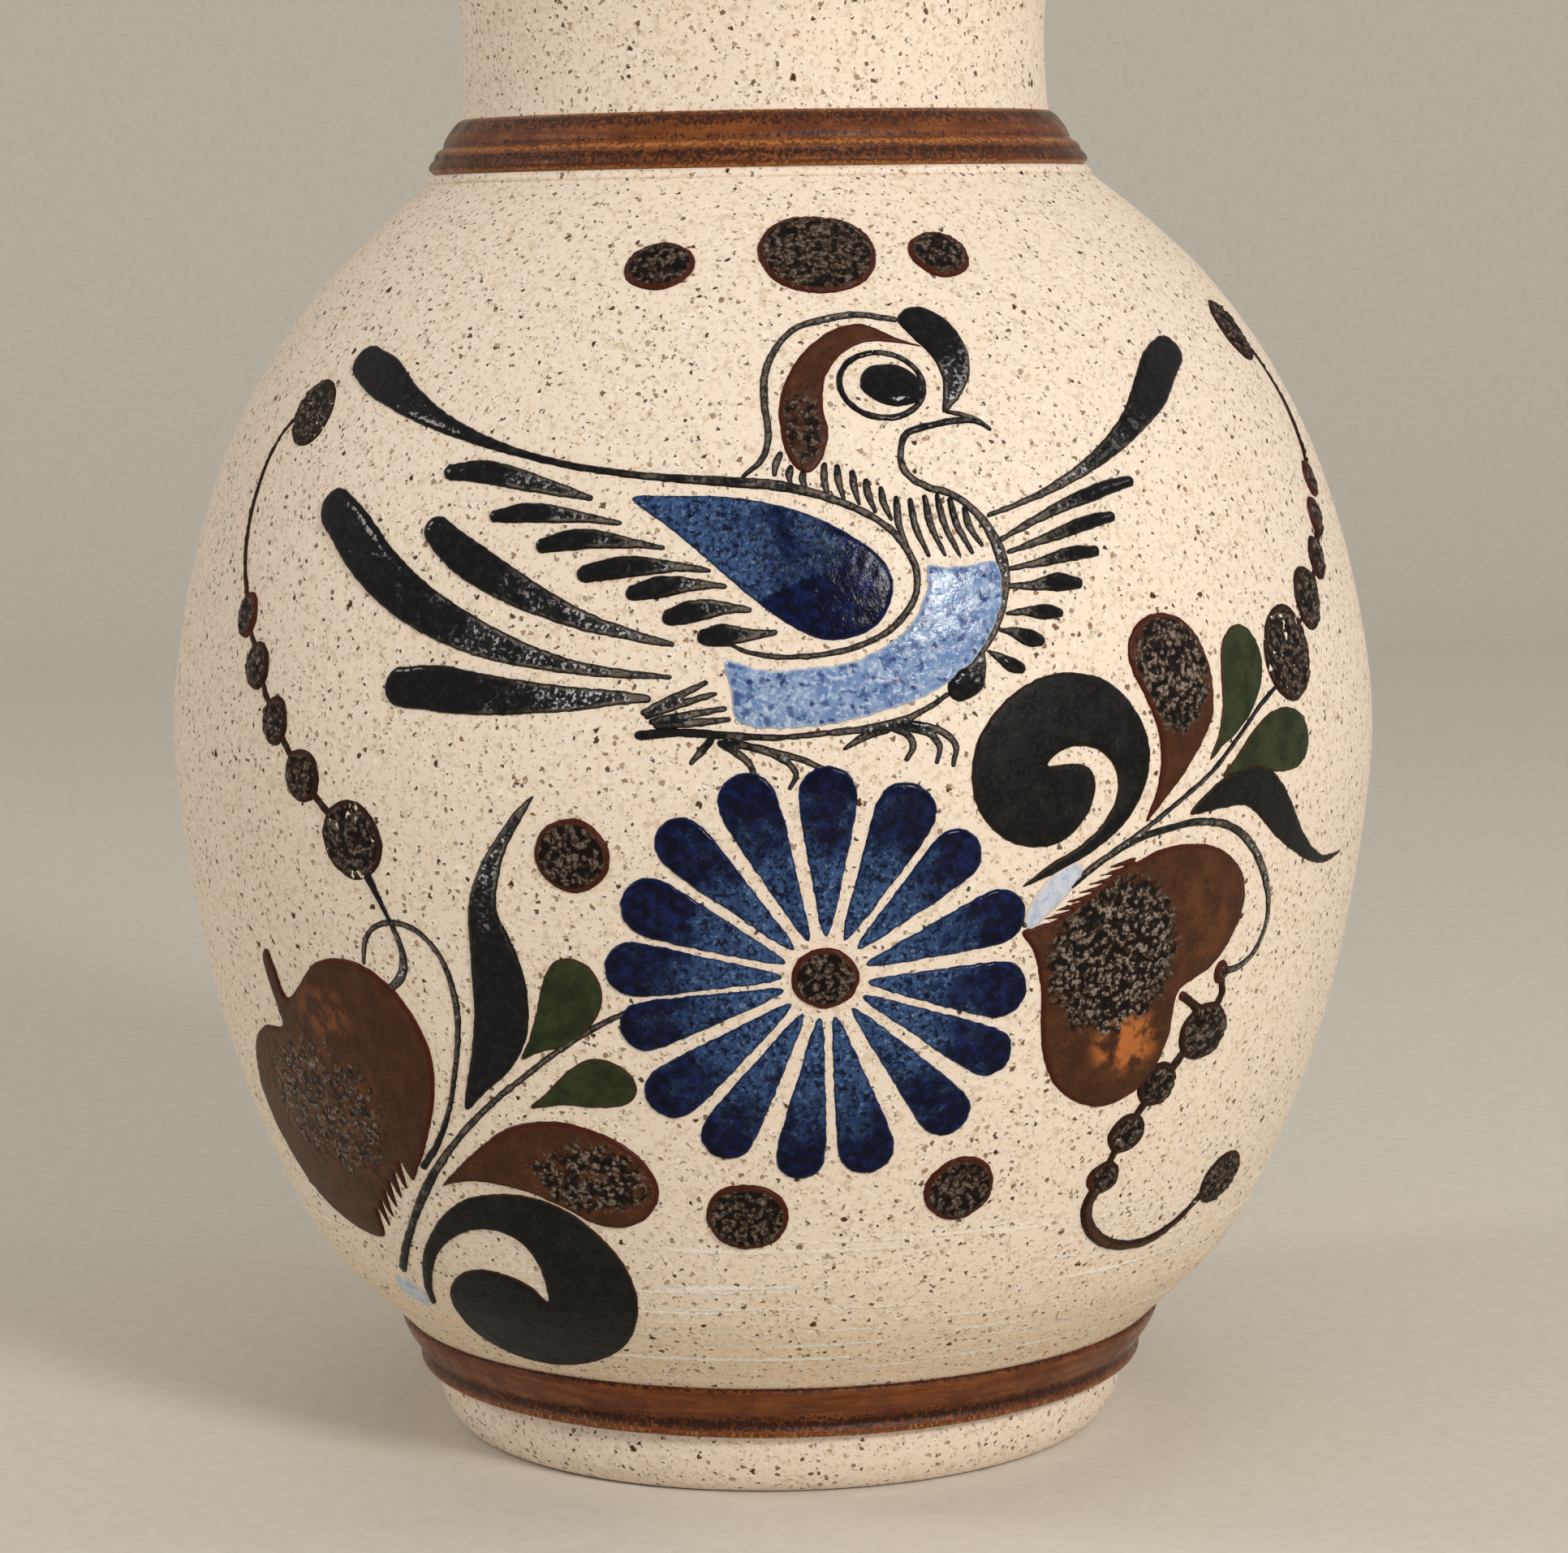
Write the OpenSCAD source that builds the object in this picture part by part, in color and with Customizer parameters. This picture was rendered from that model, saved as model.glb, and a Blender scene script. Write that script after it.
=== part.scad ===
// Stoneware vase with raised bands and relief painting: a bird, a daisy and two tulip sprays.
// Millimetres, +Z up, origin at the centre of the foot on the surface that it stands on.
// Painted motifs are placed by [angle, height]: degrees round the vase from its front (-Y),
// positive towards +X, and millimetres above the foot.

/* [Clay] */
// Thickness of the belly wall
wall = 4.6; // [3.5:0.1:5.5]
// Inside radius of the neck
neck_bore_r = 29.2; // [27:0.1:30]
// Radius of the foot ring's inner edge
foot_bore_r = 31; // [26:0.5:34]
// Height of the hollow under the foot
foot_hollow_h = 4; // [2:0.5:5]
// Total height with the lip
vase_h = 190; // [186:1:196]

/* [Paint] */
// How far the relief paint stands above the glaze
relief = 0.3; // [0.2:0.05:0.6]
// Width of the finest brush lines
line_w = 0.7; // [0.5:0.1:1]

/* [Hidden] */
$fn = 96;
cut_depth = 22; // how deep a motif's outline is driven into the shell
cut_clear = 4; // how far it starts outside the shell
foot_top = 7.5;
band_top = 13.5;
collar_z = 145.5;
collar_r = 38.5;
lip_r = 2.6;
lip_centre = [38.6, vase_h - lip_r];
neck_top = vase_h - 4; // where the lip sits on the neck
colour_glaze = "#e3cdb0";
colour_band = "#6b3a22";
colour_black = "#1b1b1d";
colour_brown = "#5a2e1c";
colour_green = "#33412b";
colour_navy = "#16234f";
colour_sky = "#8ba1ca";
colour_pale = "#d0d3dc";

// ---------- curves ----------

// Catmull-Rom point between b and c
function between(a, b, c, d, t) =
    0.5 * (2 * b + (c - a) * t + (2 * a - 5 * b + 4 * c - d) * t * t
        + (3 * b - a - 3 * c + d) * t * t * t);

// Smooth open curve through the points of p
function smooth(p, n) = let (last = len(p) - 1) [
    for (i = [0 : last - 1], k = [0 : n - 1])
        between(i == 0 ? 2 * p[0] - p[1] : p[i - 1], p[i], p[i + 1],
            i + 2 > last ? 2 * p[last] - p[last - 1] : p[i + 2], k / n),
    p[last]
];

// Smooth closed curve through the points of p
function loop(p, n) = let (m = len(p)) [
    for (i = [0 : m - 1], k = [0 : n - 1])
        between(p[(i + m - 1) % m], p[i], p[(i + 1) % m], p[(i + 2) % m], k / n)
];

function reversed(p) = [for (i = [len(p) - 1 : -1 : 0]) p[i]];
function direction(p, i) = let (d = p[min(i + 1, len(p) - 1)] - p[max(i - 1, 0)]) d / norm(d);

// ---------- profiles: [radius, height] ----------

// Outside of the thrown belly, from the top of the base band to the collar
belly_curve = smooth([
    [44.5, 13.5], [54.5, 24], [62, 40], [67, 58], [70, 80], [68.5, 96], [64.5, 111], [59, 123],
    [52, 133], [45, 140], [collar_r, collar_z]
], 3);
// Inside of the same wall
belly_hollow = [
    for (i = [3 : len(belly_curve) - 4])
        let (d = direction(belly_curve, i)) belly_curve[i] + wall * [-d[1], d[0]]
];
neck_curve = smooth([[37.2, 146.6], [35.6, 149.5], [34, 152.6], [33.6, 158], [33.7, 164],
    [34.8, neck_top - 16], [36.8, neck_top - 9], [39, neck_top - 3.5], [40.4, neck_top]], 3);

function radius_at(z) = lookup(z, [for (p = belly_curve) [p[1], p[0]]]);
function slope_at(z) = (radius_at(z + 1) - radius_at(z - 1)) / 2;
// Angle of the outward normal above the horizontal
function tilt_at(z) = -atan(slope_at(z));

// ---------- placing paint on the vase ----------

function on_vase(q) = [radius_at(q[1]) * sin(q[0]), -radius_at(q[1]) * cos(q[0]), q[1]];

// [angle, height] points as flat x, y in the plane that touches the vase at c
function flat(points, c) = let (
    t = tilt_at(c[1]),
    east = [cos(c[0]), sin(c[0]), 0],
    up = [-sin(t) * sin(c[0]), sin(t) * cos(c[0]), cos(t)]
) [for (q = points) let (d = on_vase(q) - on_vase(c)) [d * east, d * up]];

function middle(points) = [
    (min([for (q = points) q[0]]) + max([for (q = points) q[0]])) / 2,
    (min([for (q = points) q[1]]) + max([for (q = points) q[1]])) / 2
];

// A brush stroke of changing width along a centre line, with a rounded head and a pointed tail
function ribbon(p, w) = let (
    last = len(p) - 1,
    side = [for (i = [0 : last])
        let (d = direction(p, i), s = i / last * (len(w) - 1), k = min(floor(s), len(w) - 2))
        (w[k] + (w[k + 1] - w[k]) * (s - k)) / 2 * [-d[1], d[0]]],
    head = p[0] - norm(side[0]) * 0.7 * direction(p, 0)
) concat([head], [for (i = [0 : last]) p[i] + side[i]],
    reversed([for (i = [0 : last]) p[i] - side[i]]));

// The skin that all relief paint is cut from: it lies on the belly and is relief thick
module paint_skin() {
    outside = [for (i = [0 : len(belly_curve) - 1])
        let (d = direction(belly_curve, i)) belly_curve[i] + relief * [d[1], -d[0]]];
    rotate_extrude()
        polygon(concat(belly_curve, reversed(outside)));
}

// Cuts an outline, drawn flat where the vase is touched at c, out of the paint skin
module cut(outline, c) {
    t = tilt_at(c[1]);
    intersection() {
        paint_skin();
        translate(on_vase(c))
            rotate([90 - t, 0, c[0]])
                translate([0, 0, -cut_depth])
                    linear_extrude(cut_depth + cut_clear)
                        polygon(outline);
    }
}

// Filled shape inside a smooth closed curve
module patch(points, n = 3) {
    c = middle(points);
    cut(loop(flat(points, c), n), c);
}

// Brush stroke through the points, with widths spread evenly along it
module stroke(points, widths, n = 3) {
    c = middle(points);
    cut(ribbon(smooth(flat(points, c), n), widths), c);
}

// Oval dot: half width and half height in millimetres
module dot(c, rx, ry, turn = 0) {
    cut([for (k = [0 : 15]) let (u = k * 22.5)
        [rx * cos(u) * cos(turn) - ry * sin(u) * sin(turn),
            rx * cos(u) * sin(turn) + ry * sin(u) * cos(turn)]], c);
}

// Beads of [angle, height, half width, half height]
module beads(list) {
    for (b = list)
        dot([b[0], b[1]], b[2], b[3]);
}

// Petal drawn from a flower's centre c, at an angle clockwise from straight up
module petal(c, turn, inner, outer, root_w, tip_w) {
    y = [inner, (inner + outer) / 2, outer - tip_w * 0.55, outer - tip_w * 0.12, outer];
    x = [root_w, (root_w + tip_w) / 2, tip_w, tip_w * 0.7, 0] / 2;
    half = smooth([for (i = [0 : 4]) [x[i], y[i]]], 3);
    outline = concat(half, [for (i = [len(half) - 2 : -1 : 0]) [-half[i][0], half[i][1]]]);
    cut([for (p = outline) [p[0] * cos(turn) + p[1] * sin(turn),
        p[1] * cos(turn) - p[0] * sin(turn)]], c);
}

// ---------- clay ----------

module foot_ring() {
    color(colour_glaze)
        rotate_extrude()
            polygon([[foot_bore_r, 0.6], [foot_bore_r + 0.8, 0], [37.2, 0], [38.6, 0.7], [39.8, 2.2],
                [40.7, 4.4], [41, foot_top], [foot_bore_r, foot_top]]);
}

module belly() {
    floor_top = foot_hollow_h + wall + 1.4;
    color(colour_glaze)
        rotate_extrude()
            polygon(concat(
                [[0, foot_hollow_h], [foot_bore_r, foot_hollow_h], [foot_bore_r, foot_top],
                    [40.6, foot_top], [43.8, band_top]],
                belly_curve,
                [[collar_r - 6.5, collar_z]],
                reversed(belly_hollow),
                [[38, floor_top + 2], [33, floor_top], [0, floor_top]]));
}

module base_band() {
    color(colour_band)
        rotate_extrude()
            polygon([[40.6, foot_top], [42.4, foot_top], [42.8, 8.1], [42.6, 8.7], [42.4, 9.2],
                [43.2, 10], [44.4, 12], [45, 13.1], [44.5, band_top], [43.8, band_top]]);
}

module neck() {
    color(colour_glaze)
        rotate_extrude()
            polygon(concat(
                [[collar_r - 6.5, collar_z], [collar_r, collar_z], [38.2, 146.6]],
                neck_curve,
                [[36.2, neck_top], [34.2, neck_top - 7], [31, neck_top - 16],
                    [neck_bore_r + 0.3, 163], [neck_bore_r, 157], [neck_bore_r + 0.4, 151]]));
}

module neck_band() {
    inner = [for (p = neck_curve) if (p[1] <= 152.7) p];
    color(colour_band)
        rotate_extrude()
            polygon(concat(inner, [[34.7, 152.4], [35.6, 151.1], [36.2, 150.2], [36.3, 149.6],
                [37, 149.1], [37.5, 148.4], [37.6, 148], [38.1, 147.5], [38.1, 146.9],
                [37.6, 146.6]]));
}

module lip() {
    color(colour_band)
        rotate_extrude()
            difference() {
                translate(lip_centre)
                    circle(lip_r);
                square([2 * collar_r, neck_top]);
            }
}

// ---------- dots ----------

module top_dots() {
    color(colour_brown) {
        dot([-12.8, 136.3], 3.8, 3.4, 12);
        dot([7, 137.5], 6.2, 5.7);
        dot([22.8, 137], 3.4, 3.4, -12);
    }
}

module field_spots() {
    color(colour_brown) {
        dot([-17.5, 76.2], 4.1, 3.9);
        dot([-3.2, 36.6], 4.3, 4.1);
        dot([17.9, 38.8], 3.9, 3.9);
    }
}

// ---------- bird ----------

module bird_back_line() {
    color(colour_black) {
        stroke([[-49.5, 126.3], [-45, 124.8], [-38, 121.5], [-29, 118.5], [-20, 116.2], [-11, 115],
            [-3, 114.3], [3, 113.4], [8, 111.4], [11.5, 108.5], [13, 104.8], [12.5, 101.3],
            [9.5, 98.3], [5, 97], [1, 96.7], [-3, 97.6]],
            [4.2, 5, 3, 1.6, line_w, line_w, line_w, line_w, 1.1, line_w, line_w, line_w, 0.5]);
        stroke([[-1.5, 115.2], [0, 118], [-0.2, 124], [2.6, 129], [7.5, 130.7], [14.3, 130.6]],
            [line_w, line_w, line_w]);
    }
}

module bird_breast_line() {
    color(colour_black) {
        stroke([[17.6, 119.6], [19.5, 119.9], [22.4, 118.8]], [line_w, line_w, 0.5]);
        stroke([[16.5, 119.5], [13.4, 118.6], [13, 116], [14.2, 113.6], [17.4, 112.2], [19.8, 110],
            [21.3, 106.6], [21.1, 102], [19.6, 98]], [line_w, line_w, line_w, 1.4, line_w]);
    }
}

module bird_crest() {
    color(colour_black)
        stroke([[16, 130.4], [18.6, 129], [20, 126.4], [19.6, 123.6], [18.2, 120.9]],
            [1.8, 3.9, 3.6, 2.6, 1]);
}

module bird_head_crescent() {
    color(colour_brown)
        stroke([[16.4, 127.8], [12.5, 129], [8.5, 128.6], [5, 126.4], [3.2, 122.6], [3.3, 118.4],
            [3.6, 116.4]], [0.5, 1.6, 2.6, 3.8, 4, 3.4, 1.2]);
}

module bird_eye_ring() {
    c = [11.9, 123.8];
    eye = [4.4, 3.8];
    color(colour_black)
        difference() {
            dot(c, eye[0], eye[1], -6);
            dot(c, eye[0] - line_w, eye[1] - line_w, -6);
        }
}

module bird_pupil() {
    color(colour_black)
        dot([12.9, 123.7], 3.3, 2.4, -12);
}

// Short upright strokes between the head and the breast
module neck_hatching() {
    tops = [[5.6, 115.9], [6.8, 115.7], [8.2, 115], [9.4, 114.2], [10.7, 113.3], [12, 112.4],
        [13.4, 112.1], [15, 111.4], [16.4, 110.8], [17.8, 109.8]];
    color(colour_black)
        for (i = [0 : len(tops) - 1]) {
            drop = i < 5 ? 2.4 : 3.6;
            stroke([tops[i], tops[i] + [0.5, -drop / 2], tops[i] + [0.8, -drop]],
                [line_w, line_w, 0.5]);
        }
}

module bird_wing() {
    color(colour_navy)
        patch([[-12.2, 112.4], [-6, 112.8], [0, 111.9], [5, 110], [9, 107.2], [10.9, 104],
            [9.8, 100.5], [6, 98.4], [2.6, 99.2], [-3, 103.6], [-8, 108.4]]);
}

module bird_belly_patch() {
    color(colour_sky)
        patch([[-4, 95.8], [0, 95.2], [5, 95.6], [9.5, 96.8], [12.6, 99.6], [14.2, 103],
            [14.4, 105.3], [17, 105], [19.6, 105.2], [20, 102.4], [18.6, 98.4], [16, 95],
            [11, 91.8], [5, 90.2], [0, 89.8], [-3.2, 90.6]]);
}

// Seven brush feathers that step down the back, each drawn from head to tail
module wing_feathers() {
    heads = [[-31.5, 115.2], [-25.6, 110.9], [-20.6, 107.9], [-16.2, 105.1], [-11.7, 103.2],
        [-8.3, 100.6], [-5.3, 98.7]];
    runs = [[15, -2.4], [12, -0.6], [11, -0.2], [11, 0.4], [7.6, 0.7], [6.5, 1], [5.2, 0.3]];
    color(colour_black)
        for (i = [0 : len(heads) - 1])
            stroke([heads[i], heads[i] + runs[i] * 0.35 + [0, 0.6], heads[i] + runs[i]],
                [1.8, 2.4, 1.2, 0.5]);
}

module tail_feathers() {
    color(colour_black) {
        stroke([[-46.4, 111.3], [-43.4, 109.2], [-38, 104.6], [-32, 100.8], [-25, 97.8],
            [-18, 95.8], [-12, 95], [-8.7, 94.7]], [4.8, 5.7, 5.4, 4.6, 3.6, 2.2, 1.2, 0.5]);
        stroke([[-32, 109], [-29.5, 107], [-24, 103.8], [-17, 100.5], [-12, 98.8], [-8.7, 98]],
            [3.3, 4.1, 3.4, 2.2, 1.2, 0.5]);
        stroke([[-34.6, 93], [-30.5, 93], [-25, 92.5], [-18, 92.4], [-13, 92.5], [-11, 92.5]],
            [4.3, 4.9, 4, 2.6, 1.4, 0.6]);
    }
}

module tail_hatching() {
    color(colour_black)
        for (i = [0 : 2])
            stroke([[-10.6 + 0.3 * i, 91.6 - 0.7 * i], [-8 + 0.4 * i, 92.6 - 0.9 * i],
                [-5.6 + 0.5 * i, 94 - 1.4 * i]], [line_w, line_w, 0.5]);
}

// Eight brush feathers that fan out in front of the breast, and the drop below them
module breast_feathers() {
    tips = [[36.3, 112.8], [33.4, 109.4], [31, 106], [28.2, 102.8], [26.2, 100], [23.9, 97.4],
        [21.8, 94.6]];
    ends = [[22.6, 108], [23, 106.2], [23, 104.7], [22.6, 103.1], [22.4, 100.6], [21, 98.4],
        [19.6, 95.9]];
    color(colour_black) {
        stroke([[50, 126], [46.6, 124.2], [42.5, 121], [37.5, 117.6], [32, 114.6], [26, 112],
            [21.4, 110.4]], [4, 4.8, 3.4, 2.2, 1.3, 0.9, 0.5]);
        for (i = [0 : len(tips) - 1])
            stroke([tips[i], tips[i] * 0.6 + ends[i] * 0.4, ends[i]], [1.3, 2, 1.2, 0.5]);
        stroke([[16.2, 93], [17.2, 94], [18.3, 95.4]], [3.2, 2.8, 0.8]);
    }
}

module bird_legs() {
    color(colour_black) {
        stroke([[-11.3, 88.9], [-6, 89], [0, 88.5], [6, 89], [11, 89.6], [14, 91.2]],
            [1.1, 1, line_w, line_w, 0.9, 0.5]);
        stroke([[-4, 88], [-2.2, 86.2], [-1.6, 84.6]], [line_w, line_w, 0.5]);
        stroke([[-3, 88], [0, 86.6], [3, 85.6]], [1, line_w, 0.5]);
        stroke([[10.4, 89], [12, 87.6], [11.3, 86]], [line_w, line_w, 0.5]);
        stroke([[11, 89.4], [14.4, 88], [14.9, 85.4]], [line_w, line_w, 0.5]);
    }
}

// ---------- daisy ----------

daisy = [4.2, 63.2];

module daisy_petals() {
    sway = [1, 3, 2, 5, 7, 5, 5, 9, 7, 8, 7, 7, 3, 1, 0, 0];
    reach = [22, 22, 21, 22, 22, 23, 24, 24, 24, 24, 24, 22.5, 23, 22.5, 23, 23];
    color(colour_navy)
        for (i = [0 : 15])
            petal(daisy, 22.5 * i + sway[i], 5.2, reach[i], 0.9, 5.8);
}

module daisy_centre() {
    color(colour_brown)
        dot(daisy, 3.5, 3.3);
}

// ---------- left spray ----------

module left_tulip() {
    color(colour_brown)
        patch([[-49.5, 30.2], [-55, 30.4], [-61, 33], [-65.2, 38], [-66.5, 43], [-65.3, 48],
            [-62, 51.8], [-57.5, 53.4], [-55.8, 55.5], [-56.3, 61], [-55.3, 62], [-54.4, 59],
            [-52.8, 57.4], [-50, 60.2], [-46, 62.8], [-41, 62.6], [-37, 59.8], [-34.6, 55],
            [-34.6, 50], [-36.6, 44.4], [-40.6, 38.4], [-45, 34.4]]);
}

module left_brown_leaf() {
    color(colour_brown)
        patch([[-36, 38.6], [-31, 43], [-26.5, 46.2], [-21.5, 46.9], [-16.5, 45.6], [-12.8, 42.4],
            [-12.4, 38.6], [-15.4, 35.5], [-19, 35.3], [-23, 37.3], [-29, 39.4]]);
}

module left_green_leaves() {
    color(colour_green) {
        patch([[-23.6, 54.6], [-22, 59], [-20.6, 63.6], [-18.4, 65], [-16.2, 63.6], [-15.8, 60.6],
            [-17.6, 57.8], [-20.5, 55.9]]);
        patch([[-23, 48.8], [-20, 51.8], [-17.2, 54], [-14.4, 53.5], [-13.2, 51.2], [-15, 49.3],
            [-19, 49]]);
    }
}

module left_dark_leaf() {
    color(colour_black)
        stroke([[-20.9, 82], [-23, 79.3], [-25.4, 74.8], [-26.5, 70], [-25.9, 64.5], [-25.9, 58.5],
            [-28, 53], [-30.4, 49]], [0.5, 1.2, 2.2, 3.2, 5.6, 5.8, 3.8, 0.8]);
}

module left_scroll() {
    color(colour_black)
        patch([[-46.6, 22.6], [-42, 30.4], [-37, 34.8], [-32, 37.2], [-26, 37.4], [-20.5, 35],
            [-16.8, 30.5], [-16.4, 25.2], [-19.5, 19.8], [-26, 16.6], [-34, 15.4], [-41, 16.8],
            [-43.2, 20.4], [-41, 25.4], [-36, 28], [-31, 27.6], [-27.6, 25.2], [-26.9, 29],
            [-30.5, 33], [-37, 31.4], [-42.6, 26.4]]);
}

module left_stems() {
    color(colour_black) {
        stroke([[-48.6, 26.4], [-44.4, 31.2], [-39, 37.2], [-34, 42.6], [-28, 48.4], [-22, 53.4],
            [-17, 57], [-15.8, 58]], [1.1, 1.1, 1, line_w, line_w]);
        stroke([[-37.6, 40.4], [-33.6, 46], [-31.6, 51.5], [-30.4, 58], [-31.6, 64.6], [-35, 67.6],
            [-38.6, 67], [-40.4, 64.4]], [line_w, 0.9, line_w, line_w]);
        stroke([[-38.2, 71.4], [-36.6, 68.2], [-35.7, 64.6], [-36.6, 61.4]], [1, line_w, 1.1]);
    }
}

module left_beads() {
    color(colour_brown) {
        beads([[-40.2, 76.4, 4.4, 4.3], [-46.3, 82.8, 2.9, 2.8], [-50.6, 88.4, 2.4, 2.6],
            [-54.2, 93.9, 2.4, 2.6], [-57.3, 99.1, 2.2, 2.6], [-55.4, 120.9, 3.9, 4]]);
        stroke([[-58, 101], [-60.4, 105.5], [-61.4, 110], [-61.4, 115], [-59.6, 119],
            [-57.6, 120.4]], [line_w, line_w]);
        stroke([[-56, 97], [-53, 92], [-48.5, 85.6], [-43, 79.6]], [line_w, line_w]);
    }
}

module left_pale_dab() {
    color(colour_pale)
        dot([-49.7, 22.9], 2.2, 1.8, 20);
}

// ---------- right spray ----------

module right_tulip() {
    color(colour_brown)
        patch([[22.6, 66.4], [24.2, 62], [24.6, 56], [26, 51], [29.4, 47.6], [34, 47.2],
            [37.6, 49.6], [39, 54], [40, 58.6], [44, 61], [46.8, 65.2], [46.6, 70], [43, 73.4],
            [38, 74.3], [32.6, 72.6], [27.6, 68.8]]);
}

module right_brown_leaf() {
    color(colour_brown)
        patch([[34.6, 79.4], [35.6, 85], [34, 90.6], [33, 95.2], [35, 98.6], [38.8, 98.6],
            [41.6, 95.2], [42, 90.2], [40.4, 85.6], [37.2, 81.8]]);
}

module right_green_leaves() {
    color(colour_green) {
        patch([[42.2, 84.6], [43.4, 88], [44, 94], [46.4, 97], [49, 95.4], [49.4, 91.8],
            [47.4, 88.2], [44.6, 85.8]]);
        patch([[44, 82.4], [47, 85.4], [50.6, 87.6], [54.6, 87.2], [56.2, 84.2], [54.2, 81],
            [49.6, 80.9]]);
    }
}

module right_dark_leaf() {
    color(colour_black)
        stroke([[66.4, 69.7], [62, 70.2], [58, 72], [53, 75.6], [48, 79.2], [43.4, 80],
            [40, 78.6]], [0.5, 1.3, 2.6, 4.8, 3.4, 2, 0.6]);
}

module right_scroll() {
    color(colour_black)
        patch([[22.4, 72.8], [27.6, 75], [32.4, 79.4], [33.8, 85], [32, 90.4], [28, 93.5],
            [22.6, 92.8], [18.2, 88.8], [17, 83.6], [19, 78], [23.6, 76.3], [27.6, 79],
            [28.4, 82.6], [26.8, 84.5], [25, 85.2], [27.6, 86], [30.4, 83.8], [30, 79.4],
            [26.8, 75.9]]);
}

module right_stems() {
    color(colour_black) {
        stroke([[50.4, 88.6], [46, 85.2], [41, 81.6], [36, 78.3], [31, 75], [27, 71.8]],
            [line_w, line_w]);
        stroke([[29, 73.8], [34.6, 76.2], [40, 76.7], [45.4, 74.8], [49.6, 70.8], [51.4, 65.6],
            [50, 61.2], [46.4, 59.6]], [line_w, line_w, 1.1, 0.9, line_w]);
    }
}

module right_beads() {
    color(colour_brown) {
        beads([[54.3, 93.4, 4.8, 5.3], [60.2, 98.8, 3.1, 3.6], [64.7, 102.8, 2.2, 2.4],
            [67.8, 107, 2, 2.3], [70.4, 111, 2, 2.1], [69, 127.8, 3.7, 4.1],
            [43.8, 53.4, 3.6, 3.2], [38.9, 48, 2.7, 2.6], [36.2, 43, 2.4, 2.3],
            [34.6, 38.2, 2, 1.9], [55.2, 34.2, 3.8, 3.2]]);
        stroke([[71.2, 112.6], [73.2, 116.5], [73.6, 121], [71.4, 125.6]], [line_w, line_w]);
        stroke([[67, 106], [63.4, 101.6], [57.4, 96.4]], [line_w, line_w]);
        stroke([[46, 58], [44.4, 54.4], [40.6, 49.8], [37, 44.6], [34.8, 39]], [1.2, line_w]);
        stroke([[34, 37.4], [34, 33.6], [37, 30.4], [42, 28.9], [47.4, 29.5], [51, 32.4],
            [53, 34]], [1.2, 1.4, 1.2, 1.1]);
    }
}

module right_pale_dab() {
    color(colour_pale)
        dot([24.4, 70.8], 2.2, 1.3, 40);
}

// ---------- back sprig ----------

back_flower = [180, 92];

module back_daisy() {
    color(colour_navy)
        for (i = [0 : 9])
            petal(back_flower, 36 * i, 5, 17, 1.2, 6);
}

module back_daisy_centre() {
    color(colour_brown)
        dot(back_flower, 3.4, 3.4);
}

// A pair of leaves, mirrored about the stem
module back_green_leaves() {
    color(colour_green)
        for (s = [-1, 1])
            patch([[180 + s * 3, 50], [180 + s * 7, 56], [180 + s * 13, 59.5],
                [180 + s * 17, 58], [180 + s * 16, 53], [180 + s * 10, 50.4]]);
}

module back_brown_leaves() {
    color(colour_brown)
        for (s = [-1, 1])
            patch([[180 + s * 3, 37], [180 + s * 8, 43], [180 + s * 16, 46.5],
                [180 + s * 23, 44.5], [180 + s * 22, 38], [180 + s * 12, 36.2]]);
}

module back_stem() {
    color(colour_black)
        stroke([[180.4, 73.6], [179.4, 64], [180.6, 52], [180, 40], [180.6, 30]],
            [line_w, 1, line_w]);
}

module back_beads() {
    color(colour_brown)
        for (s = [-1, 1])
            beads([[180 + s * 30, 76, 4, 4], [180 + s * 36, 84, 2.8, 2.8],
                [180 + s * 40, 91, 2.4, 2.5], [180 + s * 42, 98, 2.2, 2.4],
                [180 + s * 15, 128, 2.8, 2.6]]);
}

foot_ring();
belly();
base_band();
neck();
neck_band();
lip();
top_dots();
field_spots();
bird_back_line();
bird_breast_line();
bird_crest();
bird_head_crescent();
bird_eye_ring();
bird_pupil();
neck_hatching();
bird_wing();
bird_belly_patch();
wing_feathers();
tail_feathers();
tail_hatching();
breast_feathers();
bird_legs();
daisy_petals();
daisy_centre();
left_tulip();
left_brown_leaf();
left_green_leaves();
left_dark_leaf();
left_scroll();
left_stems();
left_beads();
left_pale_dab();
right_tulip();
right_brown_leaf();
right_green_leaves();
right_dark_leaf();
right_scroll();
right_stems();
right_beads();
right_pale_dab();
back_daisy();
back_daisy_centre();
back_green_leaves();
back_brown_leaves();
back_stem();
back_beads();
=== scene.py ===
"""A wheel-thrown stoneware vase with raised bands and relief brushwork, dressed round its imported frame.

Motifs are placed by (angle, height): degrees round the vase from its front, positive to the
viewer's right, and millimetres above the foot. Lengths are in millimetres until a mesh is made.
"""

import logging
import math
from dataclasses import dataclass, field
from enum import Enum

import bmesh
import bpy
import numpy as np
from mathutils import Matrix, Vector, geometry, kdtree

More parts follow.
